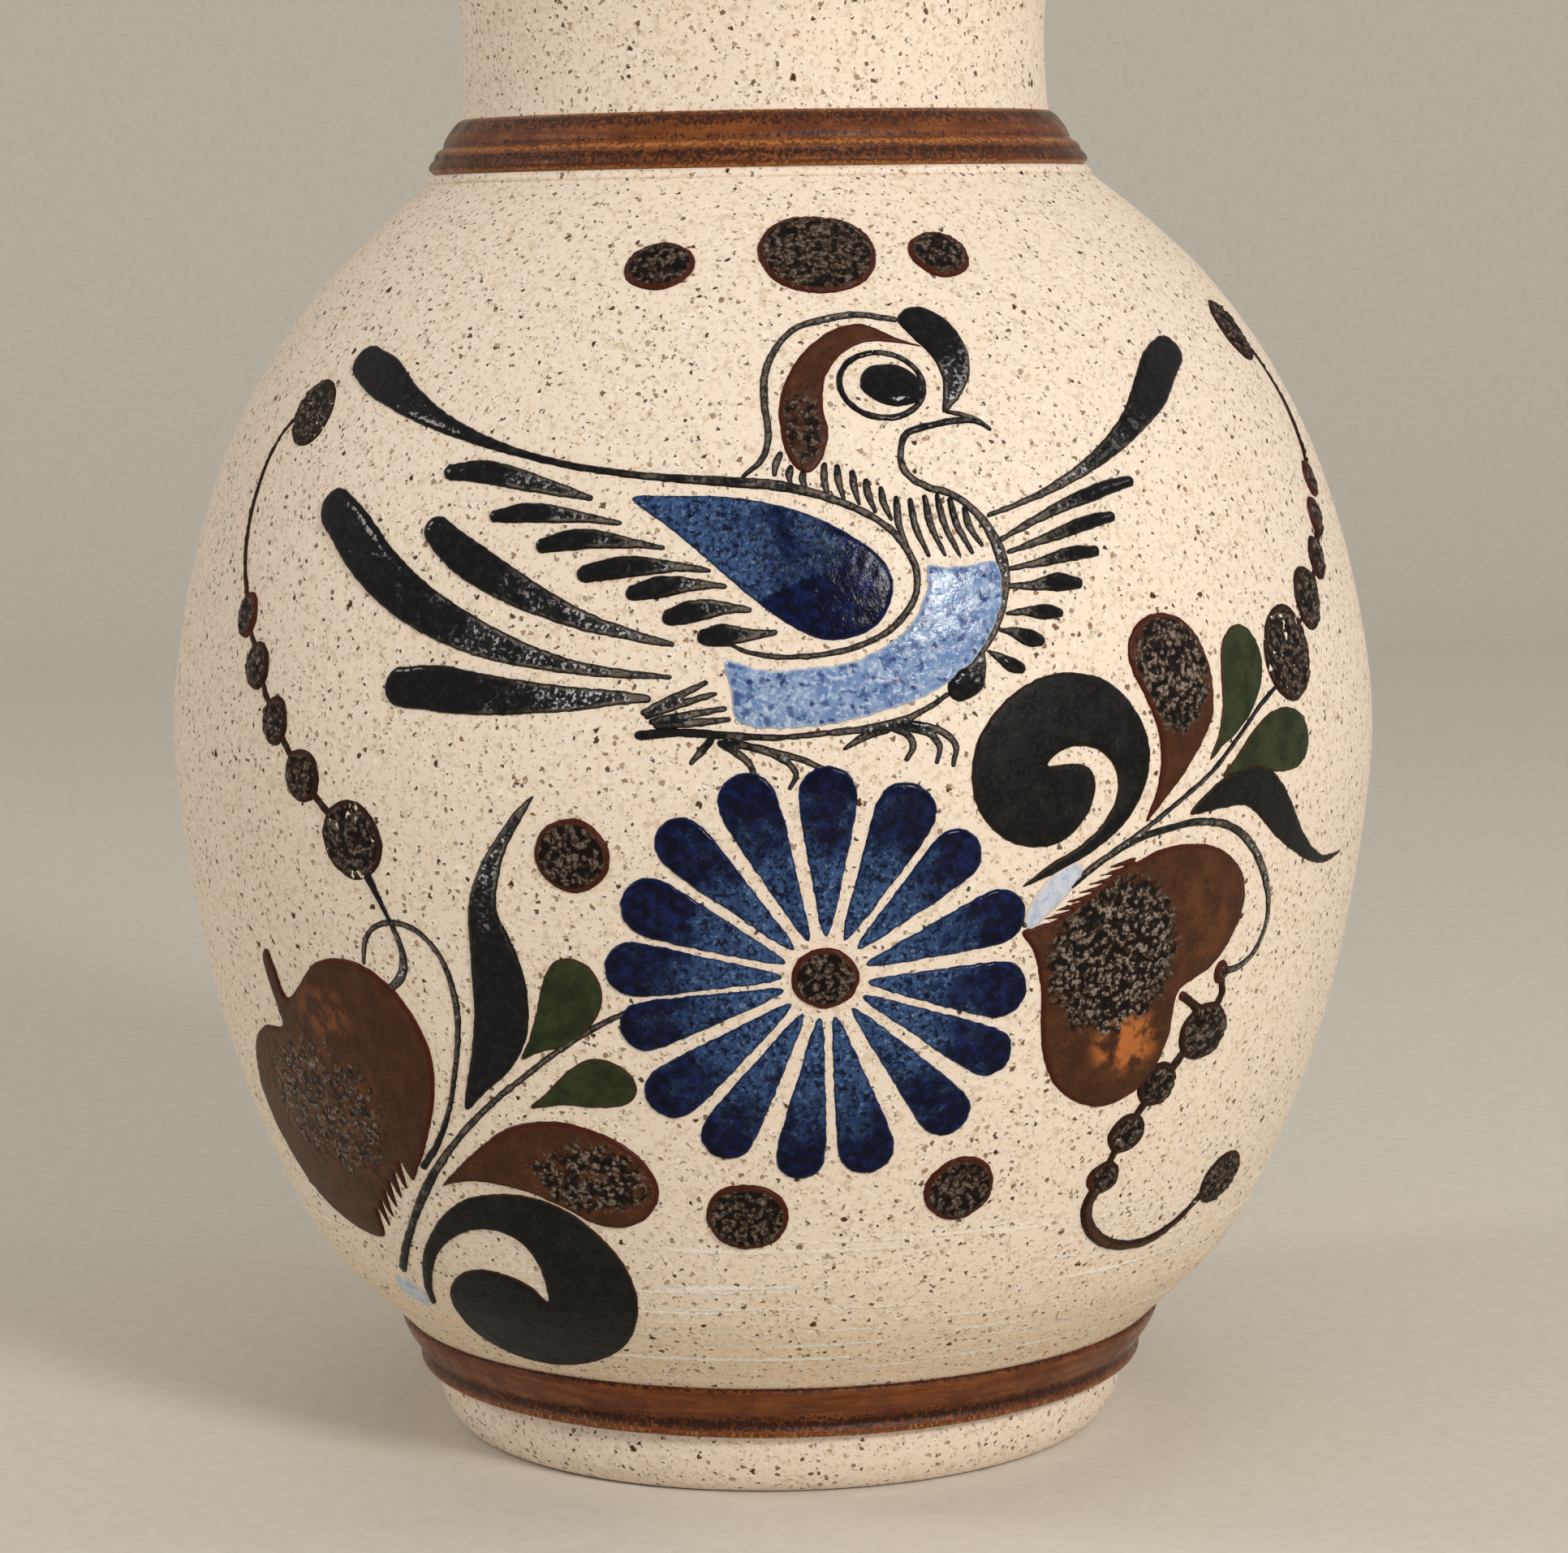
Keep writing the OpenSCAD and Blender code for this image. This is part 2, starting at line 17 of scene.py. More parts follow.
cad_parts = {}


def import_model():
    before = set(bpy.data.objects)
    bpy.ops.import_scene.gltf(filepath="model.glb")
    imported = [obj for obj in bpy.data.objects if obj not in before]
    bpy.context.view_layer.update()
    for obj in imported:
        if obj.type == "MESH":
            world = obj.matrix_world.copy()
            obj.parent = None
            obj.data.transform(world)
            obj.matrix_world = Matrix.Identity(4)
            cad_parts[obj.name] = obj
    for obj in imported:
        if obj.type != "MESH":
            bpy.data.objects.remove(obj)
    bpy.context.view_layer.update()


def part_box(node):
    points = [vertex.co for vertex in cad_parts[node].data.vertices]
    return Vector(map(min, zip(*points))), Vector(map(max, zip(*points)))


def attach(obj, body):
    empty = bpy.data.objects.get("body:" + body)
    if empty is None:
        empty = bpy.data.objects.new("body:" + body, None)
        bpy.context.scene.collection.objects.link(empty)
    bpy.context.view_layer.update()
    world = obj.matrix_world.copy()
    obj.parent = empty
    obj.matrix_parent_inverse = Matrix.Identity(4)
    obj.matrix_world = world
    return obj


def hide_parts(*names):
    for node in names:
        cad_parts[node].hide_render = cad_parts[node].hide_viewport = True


Point = tuple[float, float]
Points = tuple[Point, ...]
Rows = tuple[tuple[float, ...], ...]
Array = np.ndarray
Tree = bpy.types.NodeTree
Socket = bpy.types.NodeSocket
Feeds = dict[str, Socket | float]  # what goes into each socket of a shader
log = logging.getLogger("vase")

MM = 0.001
BODY = "root"
DEVELOPED_RADIUS = 60.0  # the belly is unrolled onto a cylinder of this radius before it is painted


# ---------- small tools ----------


def linear(colour: str) -> tuple[float, float, float, float]:
    """Turns an sRGB hex colour into linear values.

    Args:
        colour: Such as "#E3CDB0".

    Returns:
        Linear red, green and blue, and an alpha of 1.
    """
    parts = [int(colour[i : i + 2], 16) / 255 for i in (1, 3, 5)]
    return (*(c / 12.92 if c <= 0.04045 else ((c + 0.055) / 1.055) ** 2.4 for c in parts), 1.0)


def smooth_open(points: Array, per_span: int) -> Array:
    """Runs a Catmull-Rom curve through points.

    Args:
        points: The points in order.
        per_span: Steps between two neighbouring points.

    Returns:
        The points of the curve.
    """
    p = np.asarray(points, float)
    q = np.vstack([2 * p[0] - p[1], p, 2 * p[-1] - p[-2]])
    return np.vstack([catmull(q, i, per_span) for i in range(1, len(q) - 2)] + [p[-1:]])


def smooth_closed(points: Array, per_span: int) -> Array:
    """Runs a closed Catmull-Rom curve through points.

    Args:
        points: The points in order, the first one not repeated.
        per_span: Steps between two neighbouring points.

    Returns:
        The points of the curve.
    """
    p = np.asarray(points, float)
    q = np.vstack([p[-1], p, p[0], p[1]])
    return np.vstack([catmull(q, i, per_span) for i in range(1, len(q) - 2)])


def catmull(q: Array, i: int, per_span: int) -> Array:
    """One span of a Catmull-Rom curve.

    Args:
        q: The points in order, with one more beyond each end.
        i: Where the span starts.
        per_span: Steps in the span.

    Returns:
        The points from q[i] up to but without q[i + 1].
    """
    t = np.arange(per_span)[:, None] / per_span
    a, b, c, d = q[i - 1], q[i], q[i + 1], q[i + 2]
    return 0.5 * (
        2 * b + (c - a) * t + (2 * a - 5 * b + 4 * c - d) * t**2 + (3 * b - a - 3 * c + d) * t**3
    )


def left_normals(path: Array, closed: bool = False) -> Array:
    """Unit normals on the left of a path.

    Args:
        path: Points in order.
        closed: True if the last point joins the first.

    Returns:
        A normal for each point.
    """
    d = np.roll(path, -1, axis=0) - np.roll(path, 1, axis=0) if closed else np.gradient(path, axis=0)
    d /= np.maximum(np.linalg.norm(d, axis=1, keepdims=True), 1e-9)
    return np.stack([-d[:, 1], d[:, 0]], axis=1)


def run_of(path: Array) -> Array:
    """Length run along a polyline up to each of its points."""
    return np.concatenate([[0], np.cumsum(np.linalg.norm(np.diff(path, axis=0), axis=1))])


def resampled(path: Array, places: Array, at: Array) -> Array:
    """Points of a polyline at other places, where places says how far along each corner is."""
    return np.stack([np.interp(at, places, path[:, k]) for k in (0, 1)], axis=1)


def turned_oval(angles: Array, wide: Array, high: Array, turn: float) -> Array:
    """Points of an oval.

    Args:
        angles: Where on it, in radians.
        wide: Half its width, one value or one for each angle.
        high: Half its height, likewise.
        turn: Degrees by which it is turned to the left.

    Returns:
        The points, with the oval's middle at 0.
    """
    x, y = wide * np.cos(angles), high * np.sin(angles)
    c, s = math.cos(math.radians(turn)), math.sin(math.radians(turn))
    return np.stack([x * c - y * s, x * s + y * c], axis=1)


def smoothstep(low: float, high: float, x: Array) -> Array:
    """0 below low, 1 above high and a soft ramp between; low may be the larger one."""
    t = np.clip((x - low) / (high - low), 0, 1)
    return t * t * (3 - 2 * t)


def value_noise(p: Array, seed: int = 0) -> Array:
    """Smooth random values from -1 to 1 on a lattice of pitch 1.

    Args:
        p: Points, one a row, with two or three coordinates.
        seed: Picks another pattern.

    Returns:
        One value for each point.
    """
    p = np.atleast_2d(np.asarray(p, float))
    base = np.floor(p).astype(np.int64)
    f = p - base
    f = f * f * (3 - 2 * f)
    total = np.zeros(len(p))
    for corner in range(2 ** p.shape[1]):
        weight = np.ones(len(p))
        key = np.full(len(p), seed * 7919 + 13, np.int64)
        for axis in range(p.shape[1]):
            bit = corner >> axis & 1
            weight *= f[:, axis] if bit else 1 - f[:, axis]
            key = key * 73856093 + (base[:, axis] + bit) * (19349663, 83492791, 39916801)[axis]
            key ^= key >> 15
        key = (key * 2654435761) & 0x7FFFFFFF
        total += weight * ((key >> 7 & 0xFFFF) / 32767.5 - 1)
    return total


def inside(points: Array, outline: Array) -> Array:
    """Tells which points lie inside a closed outline, by its winding.

    Args:
        points: Points to test.
        outline: Corners of the closed outline.

    Returns:
        True for each point inside.
    """
    found = np.zeros(len(points), bool)
    low, high = outline.min(0), outline.max(0)
    near = np.where(np.all((points >= low) & (points <= high), axis=1))[0]
    if not len(near):
        return found
    x, y = points[near, 0][:, None], points[near, 1][:, None]
    a, b = outline, np.roll(outline, -1, axis=0)
    side = (b[:, 0] - a[:, 0]) * (y - a[:, 1]) - (x - a[:, 0]) * (b[:, 1] - a[:, 1])
    up = (a[:, 1] <= y) & (b[:, 1] > y) & (side > 0)
    down = (a[:, 1] > y) & (b[:, 1] <= y) & (side < 0)
    found[near] = up.sum(1) != down.sum(1)
    return found


def make_object(
    name: str,
    corners: Array,
    faces: list[tuple[int, ...]],
    values: dict[str, Array],
    finish: bpy.types.Material,
) -> bpy.types.Object:
    """Makes a smooth mesh object from points in millimetres.

    Args:
        name: The object's name.
        corners: Points in millimetres.
        faces: Corner numbers of each face.
        values: Point attributes by name.
        finish: The material.

    Returns:
        The new object, riding on the vase's one body.
    """
    mesh = bpy.data.meshes.new(name)
    mesh.from_pydata((corners * MM).tolist(), [], faces)
    for key, numbers in values.items():
        layer = mesh.attributes.new(key, "FLOAT", "POINT")
        layer.data.foreach_set("value", np.asarray(numbers, np.float32))
    work = bmesh.new()
    work.from_mesh(mesh)
    bmesh.ops.recalc_face_normals(work, faces=work.faces)
    work.to_mesh(mesh)
    work.free()
    mesh.shade_smooth()
    mesh.materials.append(finish)
    piece = bpy.data.objects.new(name, mesh)
    bpy.context.scene.collection.objects.link(piece)
    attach(piece, BODY)
    return piece


# ---------- finishes ----------


class Node(Enum):
    """The shader nodes in use: type, settings, sockets in the order they are filled, and output."""

    PLACE = ("TexCoord", {}, (), "Object")
    GROWN = ("VectorMath", {"operation": "SCALE"}, (0, 3))
    STRETCHED = ("VectorMath", {"operation": "MULTIPLY"})
    CENTRED = ("VectorMath", {"operation": "SUBTRACT"})
    MOVED = ("VectorMath", {"operation": "ADD"})
    LEVEL = ("SeparateXYZ", {}, (0,), 2)
    CHANNELS = ("SeparateColor", {}, (0,))
    DRIFT = ("TexNoise", {}, ("Vector", "Scale", "Detail"), "Color")
    NOISE = ("TexNoise", {"Roughness": 0.6}, ("Vector", "Scale", "Detail"), "Fac")
    CELLS = ("TexVoronoi", {"Randomness": 1.0}, ("Vector", "Scale"), "Distance")
    SOFT_CELLS = ("TexVoronoi", {"feature": "SMOOTH_F1"}, ("Vector", "Scale"), "Distance")
    MESH_VALUE = ("Attribute", {}, (), "Fac")
    STEP = ("MapRange", {"interpolation_type": "SMOOTHSTEP"}, (0, 1, 2, 3, 4))
    RANGE = ("MapRange", {}, (0, 3, 4))
    BLEND = ("Mix", {"data_type": "RGBA"}, (0, 6, 7), 2)
    BUMP = ("Bump", {}, ("Height", "Distance", "Strength"))
    BELOW = ("Math", {"operation": "LESS_THAN"})
    # Plain sums, whose result may be of any size
    SCALED = ("Math", {"operation": "MULTIPLY"})
    RAISED = ("Math", {"operation": "ADD"})
    LOWERED = ("Math", {"operation": "SUBTRACT"})
    # Sums of shares, whose result is kept between 0 and 1
    BOTH = ("Math", {"operation": "MULTIPLY", "use_clamp": True})
    EITHER = ("Math", {"operation": "MAXIMUM", "use_clamp": True})
    WITH = ("Math", {"operation": "ADD", "use_clamp": True})
    WITHOUT = ("Math", {"operation": "SUBTRACT", "use_clamp": True})

    def __init__(
        self,
        type_name: str,
        settings: dict[str, object],
        sockets: tuple[int | str, ...] = (0, 1),
        output: int | str = 0,
    ) -> None:
        """Names the parts of a member's value."""
        self.type_name, self.settings, self.sockets, self.output = type_name, settings, sockets, output


def add(tree: Tree, kind: Node, *inputs: Socket | str | float | tuple, **settings: object) -> Socket:
    """Adds a shader node with its settings and links.

    Args:
        tree: The node tree.
        kind: The kind of node.
        inputs: What fills the kind's sockets, in order: another node's output, an sRGB hex
            colour or a plain value. Sockets left over keep their defaults.
        settings: Properties or named inputs of this node alone.

    Returns:
        The output that the kind names.
    """
    node = tree.nodes.new("ShaderNode" + kind.type_name)
    for key, value in {**kind.settings, **settings}.items():
        if key in node.inputs:
            node.inputs[key].default_value = value
        else:
            setattr(node, key, value)
    for key, value in zip(kind.sockets, inputs, strict=False):
        if isinstance(value, bpy.types.NodeSocket):
            tree.links.new(value, node.inputs[key])
        else:
            node.inputs[key].default_value = linear(value) if isinstance(value, str) else value
    return node.outputs[kind.output]


def in_millimetres(tree: Tree, warp: float, waves: float) -> Socket:
    """Object coordinates in millimetres, pushed about by noise so that no pattern looks drawn.

    Args:
        tree: The node tree.
        warp: How far a point moves at most, in millimetres.
        waves: Noise waves per millimetre.

    Returns:
        The vector output.
    """
    scaled = add(tree, Node.GROWN, add(tree, Node.PLACE), 1 / MM)
    centred = add(tree, Node.CENTRED, add(tree, Node.DRIFT, scaled, waves, 1), (0.5, 0.5, 0.5))
    return add(tree, Node.MOVED, scaled, add(tree, Node.GROWN, centred, 2 * warp))


def patches(tree: Tree, place: Socket, waves: float, detail: float, *step: float) -> Socket:
    """Cloudy patches, as pigment leaves when it settles in a wet coat.

    Args:
        tree: The node tree.
        place: Coordinates in millimetres.
        waves: Noise waves per millimetre.
        detail: How many finer waves are added.
        step: The noise, from about 0.3 to 0.7, at which a patch starts and is full, and
            optionally what the result is outside and inside it.

    Returns:
        The patches, from 0 to 1 unless step says otherwise.
    """
    return add(tree, Node.STEP, add(tree, Node.NOISE, place, waves, detail), *step)


def on_mesh(tree: Tree, name: str, *step: float) -> Socket:
    """A point attribute of the mesh, cut by a soft step where one is given."""
    value = add(tree, Node.MESH_VALUE, attribute_name=name)
    return add(tree, Node.STEP, value, *step) if step else value


def layered(tree: Tree, ground: Socket | str, *layers: tuple[Socket, Socket | str]) -> Socket:
    """Lays colours over a ground, one after another.

    Args:
        tree: The node tree.
        ground: The lowest colour.
        layers: Each colour's share, from 0 to 1, and the colour.

    Returns:
        The colour seen from above.
    """
    for share, colour in layers:
        ground = add(tree, Node.BLEND, share, ground, colour)
    return ground


@dataclass(frozen=True)
class Finish:
    """What every finish shares: its name, its shine, and a Principled shader that surface() feeds."""

    name: str
    ior: float = 1.5
    shine: float = 0.5

    def surface(self, tree: Tree) -> Feeds:
        """Builds the nodes, and says what goes into which socket of the shader.

        Args:
            tree: The node tree.

        Returns:
            What goes into each socket of the shader.
        """
        raise NotImplementedError

    def make(self) -> bpy.types.Material:
        """Builds the material.

        Returns:
            The material.
        """
        material = bpy.data.materials.new(self.name)
        material.use_nodes = True
        tree = material.node_tree
        sockets = tree.nodes["Principled BSDF"].inputs
        sockets["IOR"].default_value = self.ior
        sockets["Specular IOR Level"].default_value = self.shine
        for key, value in self.surface(tree).items():
            if isinstance(value, bpy.types.NodeSocket):
                tree.links.new(value, sockets[key])
            else:
                sockets[key].default_value = value
        return material


@dataclass(frozen=True)
class SpeckledGlaze(Finish):
    """Feldspar stoneware glaze, dipped and fired to a semi-matt cream.

    Iron in the clay burns through it as brown specks, each with a pale ring where the glaze
    crawled back. That gives the eye a warm, freckled skin with a soft, broken shine. Pitches and
    radii of the specks are in millimetres.
    """

    name: str = "speckled_stoneware_glaze"
    shine: float = 0.3
    cream: str = "#F1E0CE"
    # painted shade: a darker cream laid low on the belly
    painted_low_shade: str = "#ECD8BE"
    smudge: str = "#BFA784"
    faint: str = "#9C7640"
    speck: str = "#87571B"
    dark_speck: str = "#4C2B08"
    pale_ring: str = "#FDF5E8"
    faint_pitch: float = 0.55
    faint_radii: Point = (0.04, 0.23)
    speck_pitch: float = 0.95
    speck_radii: Point = (0.08, 0.41)
    dot_pitch: float = 3.4
    dot_radii: Point = (0.2, 0.55)
    line_zone: Point = (17, 29)

    def spots(
        self, tree: Tree, place: Socket, pitch: float, radii: Point, present: float
    ) -> tuple[Socket, Socket, Socket]:
        """Scatters spots of random size.

        Args:
            tree: The node tree.
            place: Coordinates in millimetres.
            pitch: Mean distance between spots in the thickness of the clay.
            radii: Smallest and largest radius, in millimetres.
            present: Share of the possible spots that are there.

        Returns:
            The spots' mask, the mask of the ring round them, and a random value for each.
        """
        distance = add(tree, Node.CELLS, place, 1 / pitch)
        random = add(tree, Node.CHANNELS, distance.node.outputs["Color"]).node.outputs
        radius = add(tree, Node.RANGE, random[0], *(r / pitch for r in radii))
        size = add(tree, Node.SCALED, radius, add(tree, Node.BELOW, random[1], present))
        core, halo = (add(tree, Node.SCALED, size, share) for share in (0.55, 1.6))
        spot = add(tree, Node.STEP, distance, size, core)
        ring = add(tree, Node.WITHOUT, add(tree, Node.STEP, distance, halo, size), spot)
        return spot, ring, random[2]

    def throwing_lines(self, tree: Tree, place: Socket, level: Socket) -> Socket:
        """Fine level scratches that the potter's rib left low on the belly.

        Args:
            tree: The node tree.
            place: Coordinates in millimetres.
            level: Height in millimetres.

        Returns:
            The scratches' mask.
        """
        flat = add(tree, Node.STRETCHED, place, (0.03, 0.03, 1.5))
        low, high = self.line_zone
        above = add(tree, Node.STEP, level, low - 3, low)
        zone = add(tree, Node.BOTH, above, add(tree, Node.STEP, level, high + 8, high))
        return add(tree, Node.BOTH, patches(tree, flat, 1, 1, 0.6, 0.66), zone)

    def surface(self, tree: Tree) -> Feeds:
        """Layers the ground, a painted shade low on the belly, its smudges, the faint specks, the bold
        ones, the dots and the lines.

        Args:
            tree: The node tree.

        Returns:
            What goes into each socket of the shader.
        """
        place = in_millimetres(tree, 0.42, 1.9)
        level = add(tree, Node.LEVEL, place)
        # painted shade: the cream darkens low on the belly, fully from 12 to 17 mm up, fading out by 7 and
        # by 33 mm
        low = add(tree, Node.STEP, level, 33, 17)
        low = add(tree, Node.BOTH, low, add(tree, Node.STEP, level, 7, 12))
        faint, _, _ = self.spots(tree, place, self.faint_pitch, self.faint_radii, 0.7)
        speck, ring, tone = self.spots(tree, place, self.speck_pitch, self.speck_radii, 0.85)
        dot, _, _ = self.spots(tree, place, self.dot_pitch, self.dot_radii, 0.35)
        lines = self.throwing_lines(tree, place, level)
        iron = add(tree, Node.BLEND, add(tree, Node.STEP, tone, 0.45, 0.95), self.speck, self.dark_speck)
        colour = layered(
            tree, self.cream,
            (low, self.painted_low_shade),
            (patches(tree, place, 1.3, 3, 0.5, 0.66, 0, 0.5), self.smudge),
            (add(tree, Node.BOTH, ring, 0.6), self.pale_ring),
            (add(tree, Node.BOTH, faint, 0.6), self.faint),
            (add(tree, Node.BOTH, speck, add(tree, Node.RANGE, tone, 0.6, 1)), iron),
            (dot, self.dark_speck),
            (add(tree, Node.BOTH, lines, 0.8), self.pale_ring),
        )
        pit = add(tree, Node.EITHER, add(tree, Node.EITHER, speck, dot), faint)
        shallow = add(tree, Node.BOTH, pit, 0.4)
        gloss = patches(tree, place, 0.5, 3, 0.3, 0.7, 0.42, 0.6)
        skin = add(tree, Node.SCALED, add(tree, Node.NOISE, place, 0.9, 4), 0.55)
        rise = add(tree, Node.WITH, skin, add(tree, Node.BOTH, ring, 0.4))
        height = add(tree, Node.LOWERED, add(tree, Node.RAISED, rise, lines), shallow)
        return {
            "Base Color": colour,
            "Roughness": add(tree, Node.WITH, gloss, shallow),
            "Normal": add(tree, Node.BUMP, height, 0.1 * MM, 0.9),
        }


@dataclass(frozen=True)
class IronSlip(Finish):
    """Iron-rich slip brushed on the turning wheel over raised clay bands, then fired.

    It is near black in the grooves and under the ridges, partly slip that pools there and partly painted
    shade, and it burns to orange where it is thin at the edges, with drawn-out streaks that follow the
    turning.
    """

    name: str = "iron_slip"
    shine: float = 0.25
    brown: str = "#68320F"
    light_brown: str = "#80481F"
    blotch: str = "#4A210C"
    # near black for slip pooled in the grooves, also used as painted shade there and under the ridges
    pooled_and_shaded: str = "#34160A"
    burnt: str = "#A86C38"

    def surface(self, tree: Tree) -> Feeds:
        """Streaks and blotches the brown, darkens it in the grooves with pooled slip and painted shade, and
        burns it at the edges.

        Args:
            tree: The node tree.

        Returns:
            What goes into each socket of the shader.
        """
        place = in_millimetres(tree, 0.3, 0.8)
        around = add(tree, Node.STRETCHED, place, (0.12, 0.12, 1.6))
        upright = add(tree, Node.STRETCHED, place, (1, 1, 0.45))
        blotch = patches(tree, place, 0.25, 3, 0.35, 0.7, 0, 0.6)
        ragged = patches(tree, upright, 2.3, 4, 0.32, 0.68, -0.4, 0.4)
        pooled_and_shaded, thin = (add(tree, Node.RAISED, on_mesh(tree, name), ragged) for name in ("pooled_and_shaded", "thin"))
        colour = layered(
            tree, self.brown,
            (patches(tree, around, 1, 4, 0.4, 0.62), self.light_brown),
            (blotch, self.blotch),
            # painted shade in part: near black in the grooves and under the ridges, where the slip also
            # pools
            (add(tree, Node.STEP, pooled_and_shaded, 0.35, 0.75), self.pooled_and_shaded),
            (add(tree, Node.STEP, thin, 0.45, 0.85, 0, 0.9), self.burnt),
        )
        return {
            "Base Color": colour,
            "Roughness": add(tree, Node.STEP, blotch, 0, 0.6, 0.24, 0.42),
            "Normal": add(tree, Node.BUMP, add(tree, Node.NOISE, place, 1.8, 4), 0.2 * MM, 0.8),
        }


@dataclass(frozen=True)
class BlackEnamel(Finish):
    """Manganese-cobalt black laid on with a loaded brush.

    The heads are thick and glassy. Along the stroke the brush runs dry, and the colour breaks
    into dark grains, with painted glints of light grey on them and a worn grey-brown core in the thinnest
    lines.
    """

    name: str = "black_brush_enamel"
    shine: float = 0.14
    body: str = "#121113"
    soot: str = "#211F20"
    dry: str = "#3B393C"
    # painted highlight: light grey glints on the dry grains
    painted_glint: str = "#C9C8CE"
    core: str = "#74685A"
    rim: str = "#1C130D"
    dry_from: Point = (0.38, 0.9)

    def worn_core(self, tree: Tree, place: Socket, edge: Socket, along: Socket) -> Socket:
        """The thread along the middle of a thin line where the colour has worn through.

        Args:
            tree: The node tree.
            place: Coordinates in millimetres.
            edge: Distance from the paint's edge.
            along: How far along the stroke, with some noise.

        Returns:
            The thread's mask.
        """
        thread = add(tree, Node.STEP, edge, 0.13, 0.27)
        thread = add(tree, Node.BOTH, thread, add(tree, Node.STEP, edge, 0.55, 0.3))
        thread = add(tree, Node.BOTH, thread, patches(tree, place, 1.7, 2, 0.38, 0.58))
        return add(tree, Node.BOTH, thread, add(tree, Node.STEP, along, 0.3, 0.7, 0, 0.85))

    def surface(self, tree: Tree) -> Feeds:
        """Lets the black dry out along the stroke, and adds its core, painted grain glints and rim.

        Args:
            tree: The node tree.

        Returns:
            What goes into each socket of the shader.
        """
        place = in_millimetres(tree, 0.1, 2.5)
        edge = on_mesh(tree, "edge")
        wander = add(tree, Node.LOWERED, add(tree, Node.NOISE, place, 0.35, 3), 0.5)
        along = add(tree, Node.RAISED, on_mesh(tree, "along"), wander)
        dryness = add(tree, Node.STEP, along, *self.dry_from)
        grey = add(tree, Node.BOTH, patches(tree, place, 2.6, 2, 0.4, 0.6), dryness)
        # painted highlight: small specks of light grey where the brush ran dry
        glint_specks = patches(tree, place, 2.1, 1, 0.56, 0.61)
        wide = add(tree, Node.BOTH, dryness, add(tree, Node.STEP, edge, 0.28, 0.42, 0, 0.85))
        colour = layered(
            tree, self.body,
            (patches(tree, place, 1.4, 3, 0.45, 0.7), self.soot),
            (add(tree, Node.BOTH, grey, 0.9), self.dry),
            (self.worn_core(tree, place, edge, along), self.core),
            (add(tree, Node.BOTH, glint_specks, wide), self.painted_glint),
            (add(tree, Node.STEP, edge, 0.12, 0.02, 0, 0.8), self.rim),
        )
        lumps = add(tree, Node.SCALED, add(tree, Node.NOISE, place, 3.2, 2), dryness)
        calm = add(tree, Node.SCALED, add(tree, Node.NOISE, place, 0.8, 2), 0.3)
        return {
            "Base Color": colour,
            "Roughness": add(tree, Node.STEP, dryness, 0, 1, 0.1, 0.34),
            "Normal": add(tree, Node.BUMP, add(tree, Node.RAISED, lumps, calm), 0.28 * MM, 0.8),
        }


@dataclass(frozen=True)
class CharcoalEnamel(Finish):
    """The same black mixed thin and fired dry, so that it stays matt.

    It reads as a warm dark grey with faint brush marks and a brown hairline where it ends.
    """

    name: str = "charcoal_brush_enamel"
    shine: float = 0.12
    body: str = "#0F0F0F"
    worn: str = "#1F1E1D"
    grain: str = "#3F3C35"
    rim: str = "#3C2413"

    def surface(self, tree: Tree) -> Feeds:
        """Wears and grains the dark body, and ends it in a brown hairline.

        Args:
            tree: The node tree.

        Returns:
            What goes into each socket of the shader.
        """
        place = in_millimetres(tree, 0.3, 1)
        mottle = patches(tree, place, 0.35, 4, 0.42, 0.7)
        colour = layered(
            tree, self.body,
            (mottle, self.worn),
            (patches(tree, place, 2.4, 3, 0.5, 0.75, 0, 0.4), self.grain),
            (on_mesh(tree, "edge", 0.2, 0.05), self.rim),
        )
        return {
            "Base Color": colour,
            "Roughness": add(tree, Node.STEP, mottle, 0, 1, 0.38, 0.55),
            "Normal": add(tree, Node.BUMP, add(tree, Node.NOISE, place, 1.4, 4), 0.14 * MM, 0.7),
        }


